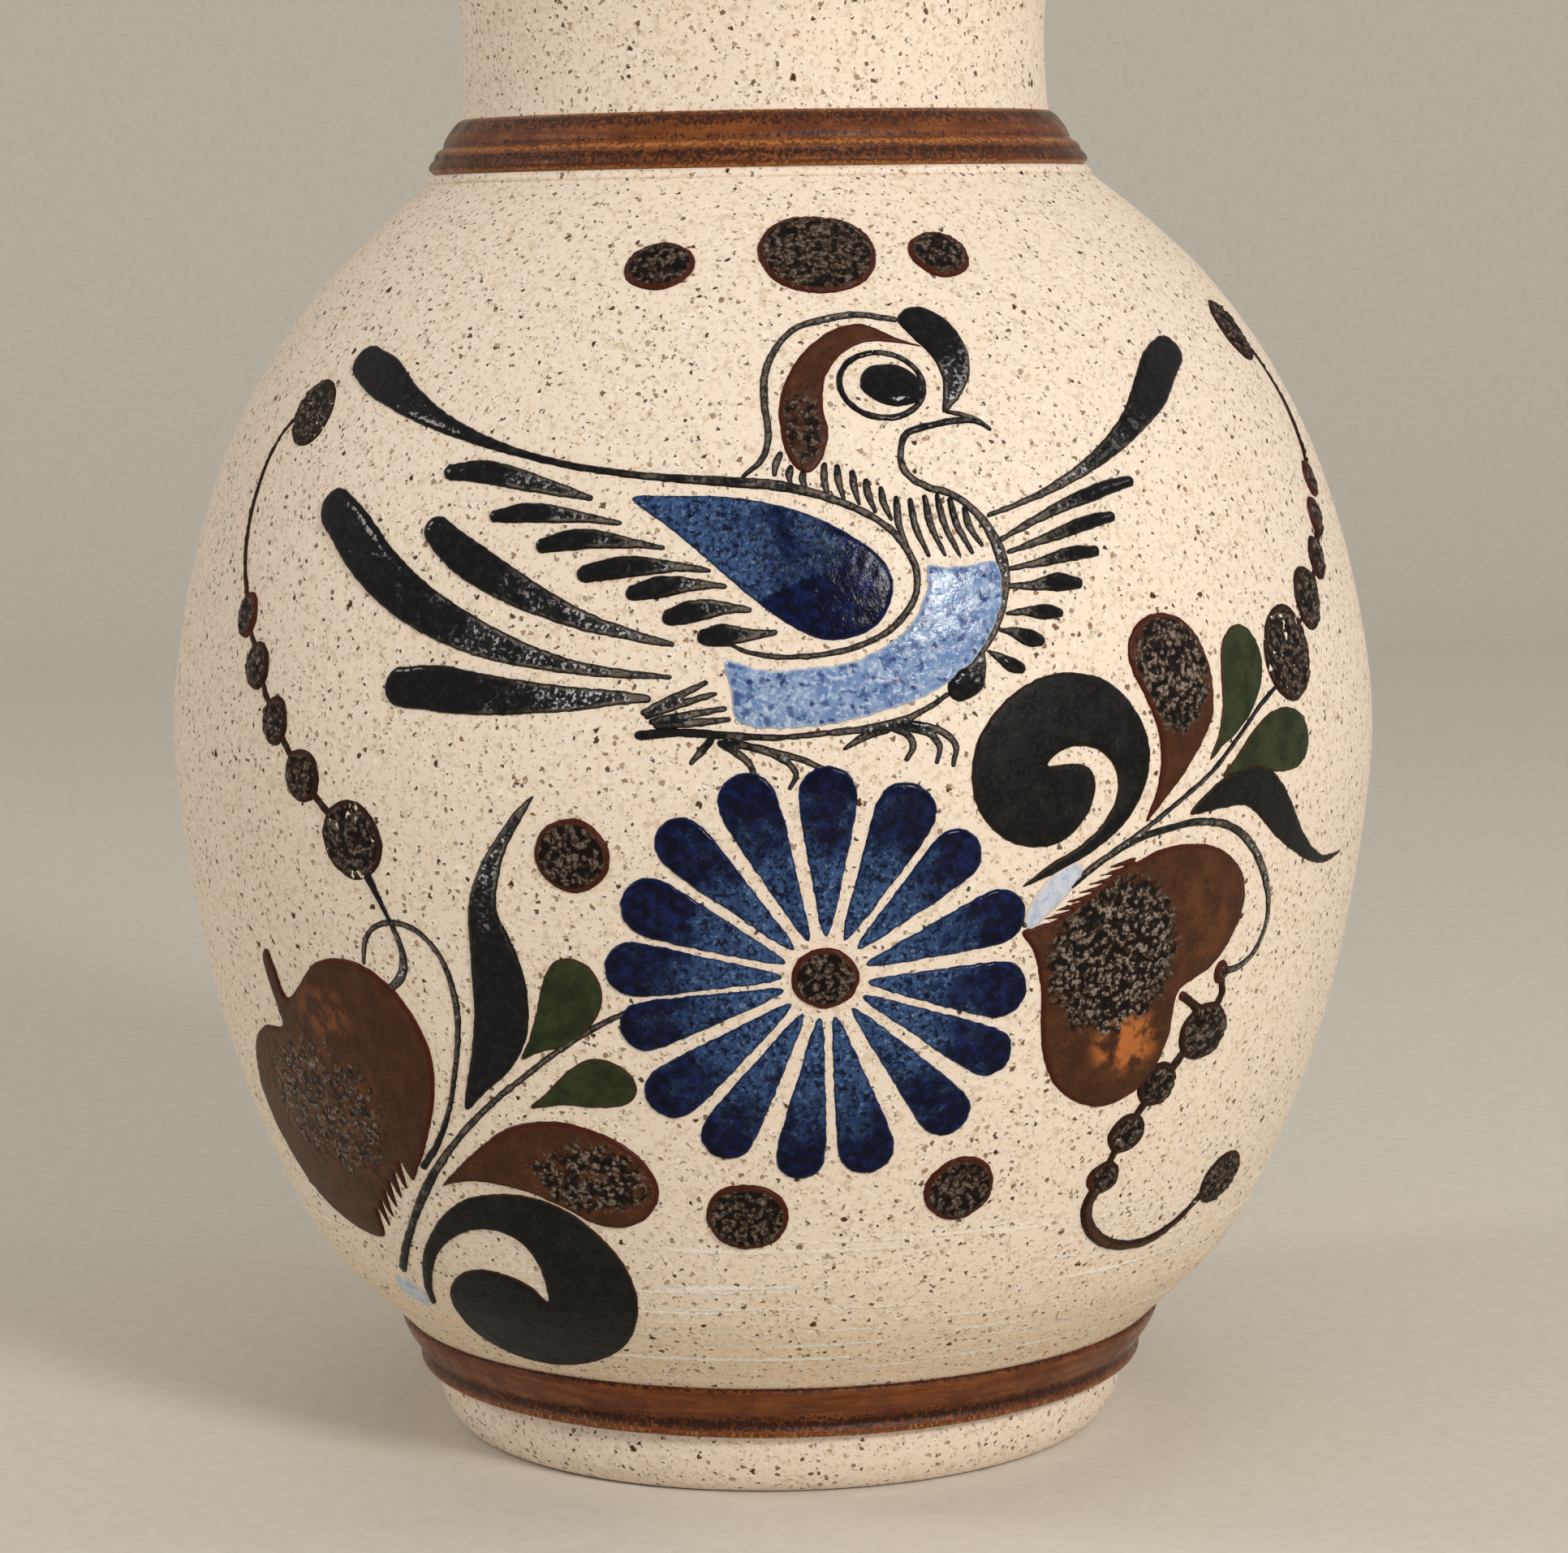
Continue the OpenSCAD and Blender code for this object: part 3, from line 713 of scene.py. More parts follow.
@dataclass(frozen=True)
class BrownOxide(Finish):
    """Iron oxide in a thick brush load.

    Where it lies thick it crystallises into a crust of black and grey grains inside a smooth
    red-brown rim, and where it is thin it stays plain brown, with painted orange highlights in places.
    """

    name: str = "iron_oxide_brushwork"
    shine: float = 0.14
    brown: str = "#432614"
    warm: str = "#52301B"
    shade: str = "#2A1710"
    rim: str = "#431607"
    string_rim: str = "#220D06"
    grain_dark: str = "#0F0603"
    grain_mid: str = "#38281E"
    grain_pale: str = "#95867A"
    # painted highlight: orange that stands in for light catching the oxide
    painted_highlight: str = "#BC7038"

    def crust(self, tree: Tree, place: Socket) -> tuple[Socket, Socket]:
        """The crust of grains.

        Args:
            tree: The node tree.
            place: Coordinates in millimetres.

        Returns:
            Its colour and its height from 0 to 1.
        """
        worm = add(tree, Node.STEP, add(tree, Node.SOFT_CELLS, place, 1.5), 0.62, 0.24)
        fine = add(tree, Node.NOISE, place, 2.6, 2)
        height = add(tree, Node.BOTH, worm, add(tree, Node.STEP, fine, 0.3, 0.62, 0.35, 1))
        tips = add(tree, Node.STEP, height, 0.36, 0.72)
        tips = add(tree, Node.BOTH, tips, add(tree, Node.STEP, fine, 0.42, 0.56))
        # the pale grain tips come out fully only under the painted highlight
        tips = add(tree, Node.BOTH, tips, on_mesh(tree, "painted_highlight", 0, 0.25, 0.5, 1))
        colour = layered(
            tree, self.grain_dark,
            (add(tree, Node.STEP, height, 0.1, 0.42), self.grain_mid),
            (tips, self.grain_pale),
        )
        return colour, height

    def surface(self, tree: Tree) -> Feeds:
        """Mottles the brown, paints orange highlights on it, and lays the crust inside its rim.

        Args:
            tree: The node tree.

        Returns:
            What goes into each socket of the shader.
        """
        place = in_millimetres(tree, 0.3, 1.4)
        edge = on_mesh(tree, "edge")
        # painted highlight: orange streaks where the tint ovals say, standing in for light on the oxide
        painted_highlight = add(tree, Node.BOTH, on_mesh(tree, "painted_highlight"), patches(tree, place, 0.35, 4, 0.42, 0.6))
        grains, crust_height = self.crust(tree, place)
        loose = add(tree, Node.LOWERED, add(tree, Node.NOISE, place, 0.8, 3), 0.5)
        patchy = add(tree, Node.WITH, on_mesh(tree, "grain"), add(tree, Node.SCALED, loose, 1.3))
        within = add(tree, Node.STEP, patchy, 0.3, 0.62)
        within = add(tree, Node.BOTH, within, add(tree, Node.STEP, edge, 0.4, 0.7))
        seam = layered(tree, self.rim, (on_mesh(tree, "along", 0, 0.05), self.string_rim))
        colour = layered(
            tree, self.brown,
            (patches(tree, place, 0.45, 4, 0.4, 0.66), self.warm),
            (patches(tree, place, 2.4, 3, 0.5, 0.68, 0, 0.6), self.shade),
            (add(tree, Node.BOTH, painted_highlight, 0.85), self.painted_highlight),
            (within, grains),
            (add(tree, Node.STEP, edge, 0.65, 0.25, 0, 0.9), seam),
        )
        skin = add(tree, Node.SCALED, add(tree, Node.NOISE, place, 1.8, 3), 0.25)
        height = add(tree, Node.RAISED, add(tree, Node.BOTH, crust_height, within), skin)
        return {
            "Base Color": colour,
            "Roughness": add(tree, Node.STEP, within, 0, 1, 0.38, 0.34),
            "Normal": add(tree, Node.BUMP, height, 0.3 * MM, 0.9),
        }


@dataclass(frozen=True)
class GreenOxide(Finish):
    """Copper and iron oxide, brushed thin and fired to a matt olive.

    A brown hairline bleeds out at its edge, and the middle is lightly mottled.
    """

    name: str = "green_oxide_brushwork"
    shine: float = 0.12
    green: str = "#353D25"
    deep: str = "#232A1A"
    spot: str = "#1F2418"
    rim: str = "#40260F"

    def surface(self, tree: Tree) -> Feeds:
        """Mottles and spots the green, and bleeds brown out at its edge.

        Args:
            tree: The node tree.

        Returns:
            What goes into each socket of the shader.
        """
        place = in_millimetres(tree, 0.25, 1.2)
        spots = patches(tree, place, 1.8, 2, 0.58, 0.72, 0, 0.7)
        colour = layered(
            tree, self.green,
            (patches(tree, place, 0.4, 4, 0.36, 0.66), self.deep),
            (spots, self.spot),
            (on_mesh(tree, "edge", 0.3, 0.1), self.rim),
        )
        return {
            "Base Color": colour,
            "Roughness": add(tree, Node.STEP, spots, 0, 0.7, 0.45, 0.6),
            "Normal": add(tree, Node.BUMP, add(tree, Node.NOISE, place, 1.3, 4), 0.15 * MM, 0.7),
        }


@dataclass(frozen=True)
class CobaltEnamel(Finish):
    """Cobalt blue enamel.

    Laid thick it is a deep, glassy navy. Where the brush thins it breaks into small grey-blue
    grains and dark dots over the glaze, and a dark seam stays along its edge.
    """

    name: str = "cobalt_enamel"
    shine: float = 0.14
    deep: str = "#03061F"
    blue: str = "#111F4E"
    thin: str = "#244473"
    pale: str = "#758EB0"
    seam: str = "#10204A"
    thin_from: Point = (0.2, 0.85)

    def surface(self, tree: Tree) -> Feeds:
        """Thins the navy along the stroke into grains and dots, and seams its edge.

        Args:
            tree: The node tree.

        Returns:
            What goes into each socket of the shader.
        """
        place = in_millimetres(tree, 0.2, 1.5)
        wander = add(tree, Node.LOWERED, add(tree, Node.NOISE, place, 0.3, 3), 0.5)
        pulled = add(tree, Node.RAISED, on_mesh(tree, "along"), add(tree, Node.SCALED, wander, 1.2))
        thin = add(tree, Node.STEP, pulled, *self.thin_from)
        broken = add(tree, Node.BOTH, patches(tree, place, 1.5, 3, 0.34, 0.56), thin)
        light = add(tree, Node.BOTH, patches(tree, place, 2.1, 2, 0.54, 0.66, 0.12, 0.7), broken)
        colour = layered(
            tree, self.deep,
            (patches(tree, place, 1, 4, 0.42, 0.68), self.blue),
            (broken, self.thin),
            (light, self.pale),
            (patches(tree, place, 2, 1, 0.58, 0.66, 0, 0.85), self.deep),
            (on_mesh(tree, "edge", 0.3, 0.05, 0, 0.75), self.seam),
        )
        rough = add(tree, Node.NOISE, place, 1.6, 4)
        rough = add(tree, Node.BOTH, rough, add(tree, Node.STEP, thin, 0, 0.8, 0.35, 1))
        return {
            "Base Color": colour,
            "Roughness": add(tree, Node.STEP, thin, 0, 1, 0.12, 0.36),
            "Normal": add(tree, Node.BUMP, rough, 0.2 * MM, 0.7),
        }


@dataclass(frozen=True)
class SkyWash(Finish):
    """A thin cobalt wash over the glaze.

    It is a cloudy light blue with paler, milky edges and small dark flecks of undissolved cobalt.
    """

    name: str = "light_cobalt_wash"
    shine: float = 0.3
    wash: str = "#6482B2"
    pale: str = "#90A6C8"
    milk: str = "#C4D0E3"
    murk: str = "#2C4781"
    fleck: str = "#142A66"
    edge: str = "#BCC6D8"
    fleck_pitch: float = 1 / 0.95

    def surface(self, tree: Tree) -> Feeds:
        """Clouds the wash with milk and murk, and scatters the flecks.

        Args:
            tree: The node tree.

        Returns:
            What goes into each socket of the shader.
        """
        place = in_millimetres(tree, 0.35, 1)
        cloud = patches(tree, place, 0.6, 4, 0.36, 0.66)
        distance = add(tree, Node.CELLS, place, 1 / self.fleck_pitch)
        random = add(tree, Node.CHANNELS, distance.node.outputs["Color"])
        size = add(tree, Node.STEP, random, 0.2, 1, 0, 0.5)
        flecks = add(tree, Node.STEP, distance, size, add(tree, Node.SCALED, size, 0.4), 0, 0.9)
        colour = layered(
            tree, self.wash,
            (cloud, self.pale),
            (patches(tree, place, 1.7, 2, 0.5, 0.65, 0, 0.75), self.milk),
            (patches(tree, place, 0.9, 3, 0.5, 0.64, 0, 0.85), self.murk),
            (flecks, self.fleck),
            (on_mesh(tree, "edge", 0.35, 0.05, 0, 0.7), self.edge),
        )
        return {
            "Base Color": colour,
            "Roughness": add(tree, Node.STEP, cloud, 0, 1, 0.14, 0.24),
            "Normal": add(tree, Node.BUMP, add(tree, Node.NOISE, place, 1.2, 3), 0.1 * MM, 0.6),
        }


@dataclass(frozen=True)
class PaleEnamel(Finish):
    """A dab of tin-white enamel with a trace of cobalt, milky and slightly glossy."""

    name: str = "pale_tin_enamel"
    white: str = "#C9CFDC"
    blue: str = "#9FB0CE"
    edge: str = "#DCCDB6"

    def surface(self, tree: Tree) -> Feeds:
        """Clouds the white with blue, and lets the glaze show through at its edge.

        Args:
            tree: The node tree.

        Returns:
            What goes into each socket of the shader.
        """
        place = in_millimetres(tree, 0.3, 1)
        colour = layered(
            tree, self.white,
            (patches(tree, place, 0.9, 3, 0.4, 0.66), self.blue),
            (on_mesh(tree, "edge", 0.5, 0.05, 0, 0.75), self.edge),
        )
        return {
            "Base Color": colour,
            "Roughness": patches(tree, place, 1.2, 2, 0.3, 0.7, 0.25, 0.4),
            "Normal": add(tree, Node.BUMP, add(tree, Node.NOISE, place, 1.4, 3), 0.12 * MM, 0.6),
        }


@dataclass(frozen=True)
class SizedPaper(Finish):
    """A wide roll of sized drawing paper, matt and faintly cloudy, that the vase stands on."""

    name: str = "sized_paper"
    paper: str = "#DDD8CE"
    cloud: str = "#D7D2C7"

    def surface(self, tree: Tree) -> Feeds:
        """Clouds the paper a little.

        Args:
            tree: The node tree.

        Returns:
            What goes into each socket of the shader.
        """
        place = in_millimetres(tree, 0.5, 0.2)
        cloud = patches(tree, place, 0.4, 4, 0.3, 0.7)
        return {"Base Color": layered(tree, self.paper, (cloud, self.cloud)), "Roughness": 0.85}


class Slot(Enum):
    """The material slots of the vase."""

    GLAZE = "glaze"
    SLIP = "iron_slip"
    BLACK = "black_enamel"
    CHARCOAL = "charcoal_enamel"
    BROWN = "brown_oxide"
    GREEN = "green_oxide"
    NAVY = "navy_enamel"
    SKY = "sky_enamel"
    PALE = "pale_enamel"


class Palette:
    """All finishes of the vase, made once each."""

    def __init__(self) -> None:
        """Makes every finish."""
        self.finishes: dict[Slot, bpy.types.Material] = {
            Slot.GLAZE: SpeckledGlaze().make(),
            Slot.SLIP: IronSlip().make(),
            Slot.BLACK: BlackEnamel().make(),
            Slot.CHARCOAL: CharcoalEnamel().make(),
            Slot.BROWN: BrownOxide().make(),
            Slot.GREEN: GreenOxide().make(),
            Slot.NAVY: CobaltEnamel().make(),
            Slot.SKY: SkyWash().make(),
            Slot.PALE: PaleEnamel().make(),
        }

    def __getitem__(self, slot: Slot) -> bpy.types.Material:
        """The finish of a slot."""
        return self.finishes[slot]


# ---------- the thrown form ----------


@dataclass
class ThrownForm:
    """The turned outline of the vase and the small faults of hand throwing."""

    belly_line: Points = (
        (44.5, 13.5), (54.5, 24), (62, 40), (67, 58), (70, 80), (68.5, 96),
        (64.5, 111), (59, 123), (52, 133), (45, 140), (38.5, 145.5),
    )  # fmt: skip
    neck_line: Points = (
        (37.2, 146.6), (35.6, 149.5), (34, 152.6), (33.6, 158), (33.7, 164),
        (34.8, 170), (36.8, 177), (39, 182.5), (40.4, 186),
    )  # fmt: skip
    lean_heights: tuple[float, ...] = (0, 14, 80, 140, 150, 166, 190)
    lean_shifts: tuple[float, ...] = (-0.5, -0.3, 0, -0.3, -0.85, -1.0, -1.0)
    oval: float = 0.18
    ring_pitch: float = 5.4
    ring_depth: float = 0.012

    def __post_init__(self) -> None:
        """Works out the fine outline and the way it unrolls."""
        line = smooth_open(np.array(self.belly_line), 24)
        self.radii, self.heights = line[:, 0], line[:, 1]
        steps = np.hypot(np.diff(self.radii), np.diff(self.heights))
        middle = (self.radii[1:] + self.radii[:-1]) / 2
        self.unrolled = np.concatenate([[0], np.cumsum(steps / middle)]) * DEVELOPED_RADIUS

    def radius(self, height: Array) -> Array:
        """Radius of the belly at a height."""
        return np.interp(height, self.heights, self.radii)

    def lean(self, height: Array) -> Array:
        """Sideways shift of the turning axis at a height."""
        return np.interp(height, self.lean_heights, self.lean_shifts)

    def wobble(self, angle: Array, height: Array) -> Array:
        """How far the clay stands off its true round, from a slight oval and the finger rings.

        Args:
            angle: Radians round the axis.
            height: Millimetres above the foot.

        Returns:
            The offset in millimetres.
        """
        oval = self.oval * (np.sin(2 * angle + 0.6) + 0.5 * np.sin(3 * angle - 1.1 + 0.03 * height))
        turn = 2 * np.pi * height / self.ring_pitch + angle
        low = smoothstep(34.0, 20.0, height) * smoothstep(14.5, 17.5, height)
        rings = self.ring_depth * (np.sin(turn) + 0.6 * np.sin(2.3 * turn + 1)) * (1 + 2.0 * low)
        quiet = smoothstep(9.0, 16.0, height) * smoothstep(143.0, 138.0, height)
        return oval + rings * quiet

    def turn(self, angle: Array, radius: Array, height: Array) -> Array:
        """Places points on the uneven, leaning form.

        Args:
            angle: Radians round the axis, from the front.
            radius: True radius in millimetres.
            height: Millimetres above the foot.

        Returns:
            The points in millimetres.
        """
        r = radius + self.wobble(angle, height) * np.clip(radius / 30, 0, 1)
        return np.stack(
            [r * np.sin(angle) + self.lean(height), -r * np.cos(angle), height + 0 * angle], axis=1
        )

    def unroll(self, points: Array) -> Array:
        """Lays points of the belly out flat.

        Args:
            points: (angle, height) points, in degrees and millimetres.

        Returns:
            Flat points on the developed belly.
        """
        p = np.asarray(points, float)
        x = np.radians(p[:, 0]) * DEVELOPED_RADIUS
        return np.stack([x, np.interp(p[:, 1], self.heights, self.unrolled)], axis=1)

    def scale_at(self, flat: Array) -> Array:
        """Real millimetres per flat millimetre at flat points."""
        return self.radius(np.interp(flat[:, 1], self.unrolled, self.heights)) / DEVELOPED_RADIUS

    def wrap(self, flat: Array, lift: Array) -> Array:
        """Lays flat points back on the belly.

        Args:
            flat: Flat points on the developed belly.
            lift: How far each one is lifted off the belly, in millimetres.

        Returns:
            The points in millimetres.
        """
        angle = flat[:, 0] / DEVELOPED_RADIUS
        height = np.interp(flat[:, 1], self.unrolled, self.heights)
        slope = self.radius(height + 0.5) - self.radius(height - 0.5)
        steep = np.hypot(1, slope)
        base = self.turn(angle, self.radius(height), height)
        out = np.stack([np.sin(angle), -np.cos(angle), -slope], axis=1) / steep[:, None]
        return base + out * lift[:, None]


# ---------- clay ----------


@dataclass
class ClayPieces:
    """The belly, neck, foot ring, raised bands and lip, turned as dense closed meshes."""

    form: ThrownForm
    palette: Palette
    segments: int = 384
    row: float = 0.8
    wall: float = 4.6
    under: Points = (
        (0.6, 4), (29.5, 4), (30.6, 4.4), (31, 5.2), (31, 7.4), (40.6, 7.5), (43.7, 13.3),
    )  # fmt: skip
    floor: Points = ((45, 14.6), (38, 11.4), (28, 10.2), (0.6, 10))
    floor_height: float = 21.0
    collar: Points = ((36.5, 145.6), (32.2, 145.6))
    neck_seat: Points = ((32, 145.45), (38.45, 145.45), (38.5, 145.9), (38.1, 146.5))
    bore: Points = (
        (36.2, 186.2), (34.4, 180), (31.4, 171), (29.6, 163.5), (29.2, 157), (29.7, 151), (32, 145.4),
    )  # fmt: skip
    foot_outside: Points = (
        (36.6, 0), (37.9, 0.25), (39.1, 1.3), (40.1, 3), (40.75, 5.2), (41, 7.5),
    )  # fmt: skip
    foot_inside: Points = ((31, 7.5), (31, 2), (31.2, 0.8), (31.9, 0.15), (33, 0))
    foot_face: Points = ((34, 0), (36, 0))
    # Faces of the bands, downwards: radius, height, how dark the slip is from pooling with painted shade,
    # and how far it has worn thin
    neck_band: Rows = (
        (34.1, 152.75, 0.5, 0.8), (34.75, 152.3, 0.7, 0.2), (35.4, 151.5, 0.5, 0),
        (36, 150.6, 0.15, 0.1), (36.25, 150, 0.4, 0), (36.35, 149.6, 0.3, 0.3), (37, 149.2, 0, 0.75),
        (37.4, 148.7, 0.3, 0.2), (37.45, 148.35, 0.7, 0), (37.9, 147.85, 0.6, 0), (38.15, 147.4, 0.5, 0.1),
        (38.05, 147, 0.5, 0.5), (37.6, 146.6, 0, 1),
    )  # fmt: skip
    neck_band_back: Points = ((36.6, 146.9), (34.4, 151.2), (33.6, 152.6))
    base_band: Rows = (
        (44.4, 13.75, 0.5, 0.5), (44.95, 13.45, 0.6, 0.1), (45, 12.9, 0, 0.1), (44.4, 11.6, 0, 0.1),
        (43.6, 10.4, 0.2, 0), (43.1, 9.7, 0.5, 0), (42.75, 9.2, 0.8, 0), (42.65, 8.85, 0.8, 0),
        (42.75, 8.5, 0.5, 0.1), (42.9, 8.15, 0.2, 0.4), (42.75, 7.75, 0.3, 0.5), (42.3, 7.45, 0.6, 0.5),
        (41.4, 7.4, 0.3, 0.9),
    )  # fmt: skip
    base_band_back: Points = ((40.3, 8), (43.4, 13.2))
    lip_radius: float = 2.6
    # Round the lip: degrees above the horizontal, pooled slip darkened with painted shade, thin
    lip: Rows = (
        (-60, 0.5, 0.9), (-30, 0.6, 0.2), (0, 0.1, 0.1), (35, 0, 0.5), (70, 0, 0.3),
        (100, 0.2, 0.2), (140, 0.5, 0.1), (180, 0.4, 0.5), (215, 0.2, 1),
    )  # fmt: skip

    def turned(
        self,
        name: str,
        node: str,
        slot: Slot,
        profile: Array,
        closed: bool,
        values: dict[str, Array] | None = None,
    ) -> bpy.types.Object:
        """Turns a profile round the axis.

        Args:
            name: Name of the new piece.
            node: The frame's node that it stands for.
            slot: Its material slot.
            profile: Points of (radius, height).
            closed: True if the last point joins the first.
            values: Attributes for each point of the profile.

        Returns:
            The piece.
        """
        n, m = len(profile), self.segments
        angles = np.linspace(0, 2 * np.pi, m, endpoint=False)
        radius = np.repeat(profile[:, 0], m)
        height = np.repeat(profile[:, 1], m)
        corners = self.form.turn(np.tile(angles, n), radius, height)
        faces = []
        for i in range(n if closed else n - 1):
            a, b = i * m, (i + 1) % n * m
            faces += [(a + k, a + (k + 1) % m, b + (k + 1) % m, b + k) for k in range(m)]
        if not closed:
            faces += [tuple(range(m)), tuple(range((n - 1) * m, n * m))]
        spread = {k: np.repeat(v, m) for k, v in (values or {}).items()}
        piece = make_object(name, corners, faces, spread, self.palette[slot])
        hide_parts(node)
        log.info("%s: %d faces", name, len(piece.data.polygons))
        return piece

    def spaced(self, points: Array, step: float) -> Array:
        """Splits the long pieces of a polyline.

        Args:
            points: The polyline's corners.
            step: The greatest length of a piece.

        Returns:
            The corners with the new ones between them.
        """
        out = [np.asarray(points[0], float)]
        for a, b in zip(points[:-1], points[1:], strict=True):
            a, b = np.asarray(a, float), np.asarray(b, float)
            n = max(1, math.ceil(np.linalg.norm(b - a) / step))
            out += [a + (b - a) * k / n for k in range(1, n + 1)]
        return np.array(out)

    def make_belly(self) -> None:
        """Makes the thrown belly, outside, wall and floor."""
        outside = np.stack([self.form.radii, self.form.heights], axis=1)
        inner = outside + self.wall * left_normals(outside)
        inner = inner[(inner[:, 1] > self.floor_height) & (inner[:, 1] < 140)][::-1]
        floor = smooth_open(np.array([inner[-1], *self.floor]), 8)[1:]
        under, skin = self.spaced(self.under, 3.0), self.spaced(outside, self.row)
        profile = np.vstack([under, skin, self.collar, self.spaced(inner, 2.0), floor])
        self.turned("thrown_belly", "belly", Slot.GLAZE, profile, closed=False)

    def make_neck(self) -> None:
        """Makes the flaring neck with its bore."""
        outside, bore = (smooth_open(np.array(line), 6)[:-1] for line in (self.form.neck_line, self.bore))
        profile = np.vstack([self.neck_seat, outside, [(40.3, 186.2)], bore])
        self.turned("thrown_neck", "neck", Slot.GLAZE, profile, closed=True)

    def make_foot_ring(self) -> None:
        """Makes the turned foot ring, softly rounded below."""
        outer = smooth_open(np.array(self.foot_outside), 6)
        profile = np.vstack([outer, self.spaced(self.foot_inside, 1.2), self.spaced(self.foot_face, 1.0)])
        self.turned("turned_foot_ring", "foot_ring", Slot.GLAZE, profile, closed=True)

    def banded(
        self, name: str, node: str, face: Rows, back: Points
    ) -> None:
        """Makes a raised band from its face and a back hidden in the clay.

        Args:
            name: Name of the new piece.
            node: The frame's node that it stands for.
            face: (radius, height, pooled and shaded, thin) points down the face: how dark the slip is
                there from pooling and painted shade, and how far it has worn thin, each from 0 to 1.
            back: (radius, height) points that close the profile inside the clay.
        """
        whole = np.vstack([smooth_open(np.array(face), 7), [(*point, 0, 0) for point in back]])
        values = {"pooled_and_shaded": whole[:, 2], "thin": whole[:, 3]}
        self.turned(name, node, Slot.SLIP, whole[:, :2], closed=True, values=values)

    def make_bands(self) -> None:
        """Makes both raised bands and the lip, whose place comes from the frame."""
        self.banded("neck_band_slip", "neck_band", self.neck_band, self.neck_band_back)
        self.banded("base_band_slip", "base_band", self.base_band, self.base_band_back)
        lip_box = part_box("lip")
        top, reach, r = lip_box[1][2] / MM, lip_box[1][0] / MM, self.lip_radius
        face = []
        for degrees, pooled_and_shaded, thin in self.lip:
            t = math.radians(degrees)
            face.append((reach - r + r * math.cos(t), top - r + r * math.sin(t), pooled_and_shaded, thin))
        self.banded("rolled_lip", "lip", tuple(face), ((reach - 3.6, top - 4.2), (reach - 1.8, top - 4.2)))

    def build(self) -> None:
        """Makes every clay piece."""
        self.make_foot_ring()
        self.make_belly()
        self.make_neck()
        self.make_bands()


# ---------- relief paint ----------


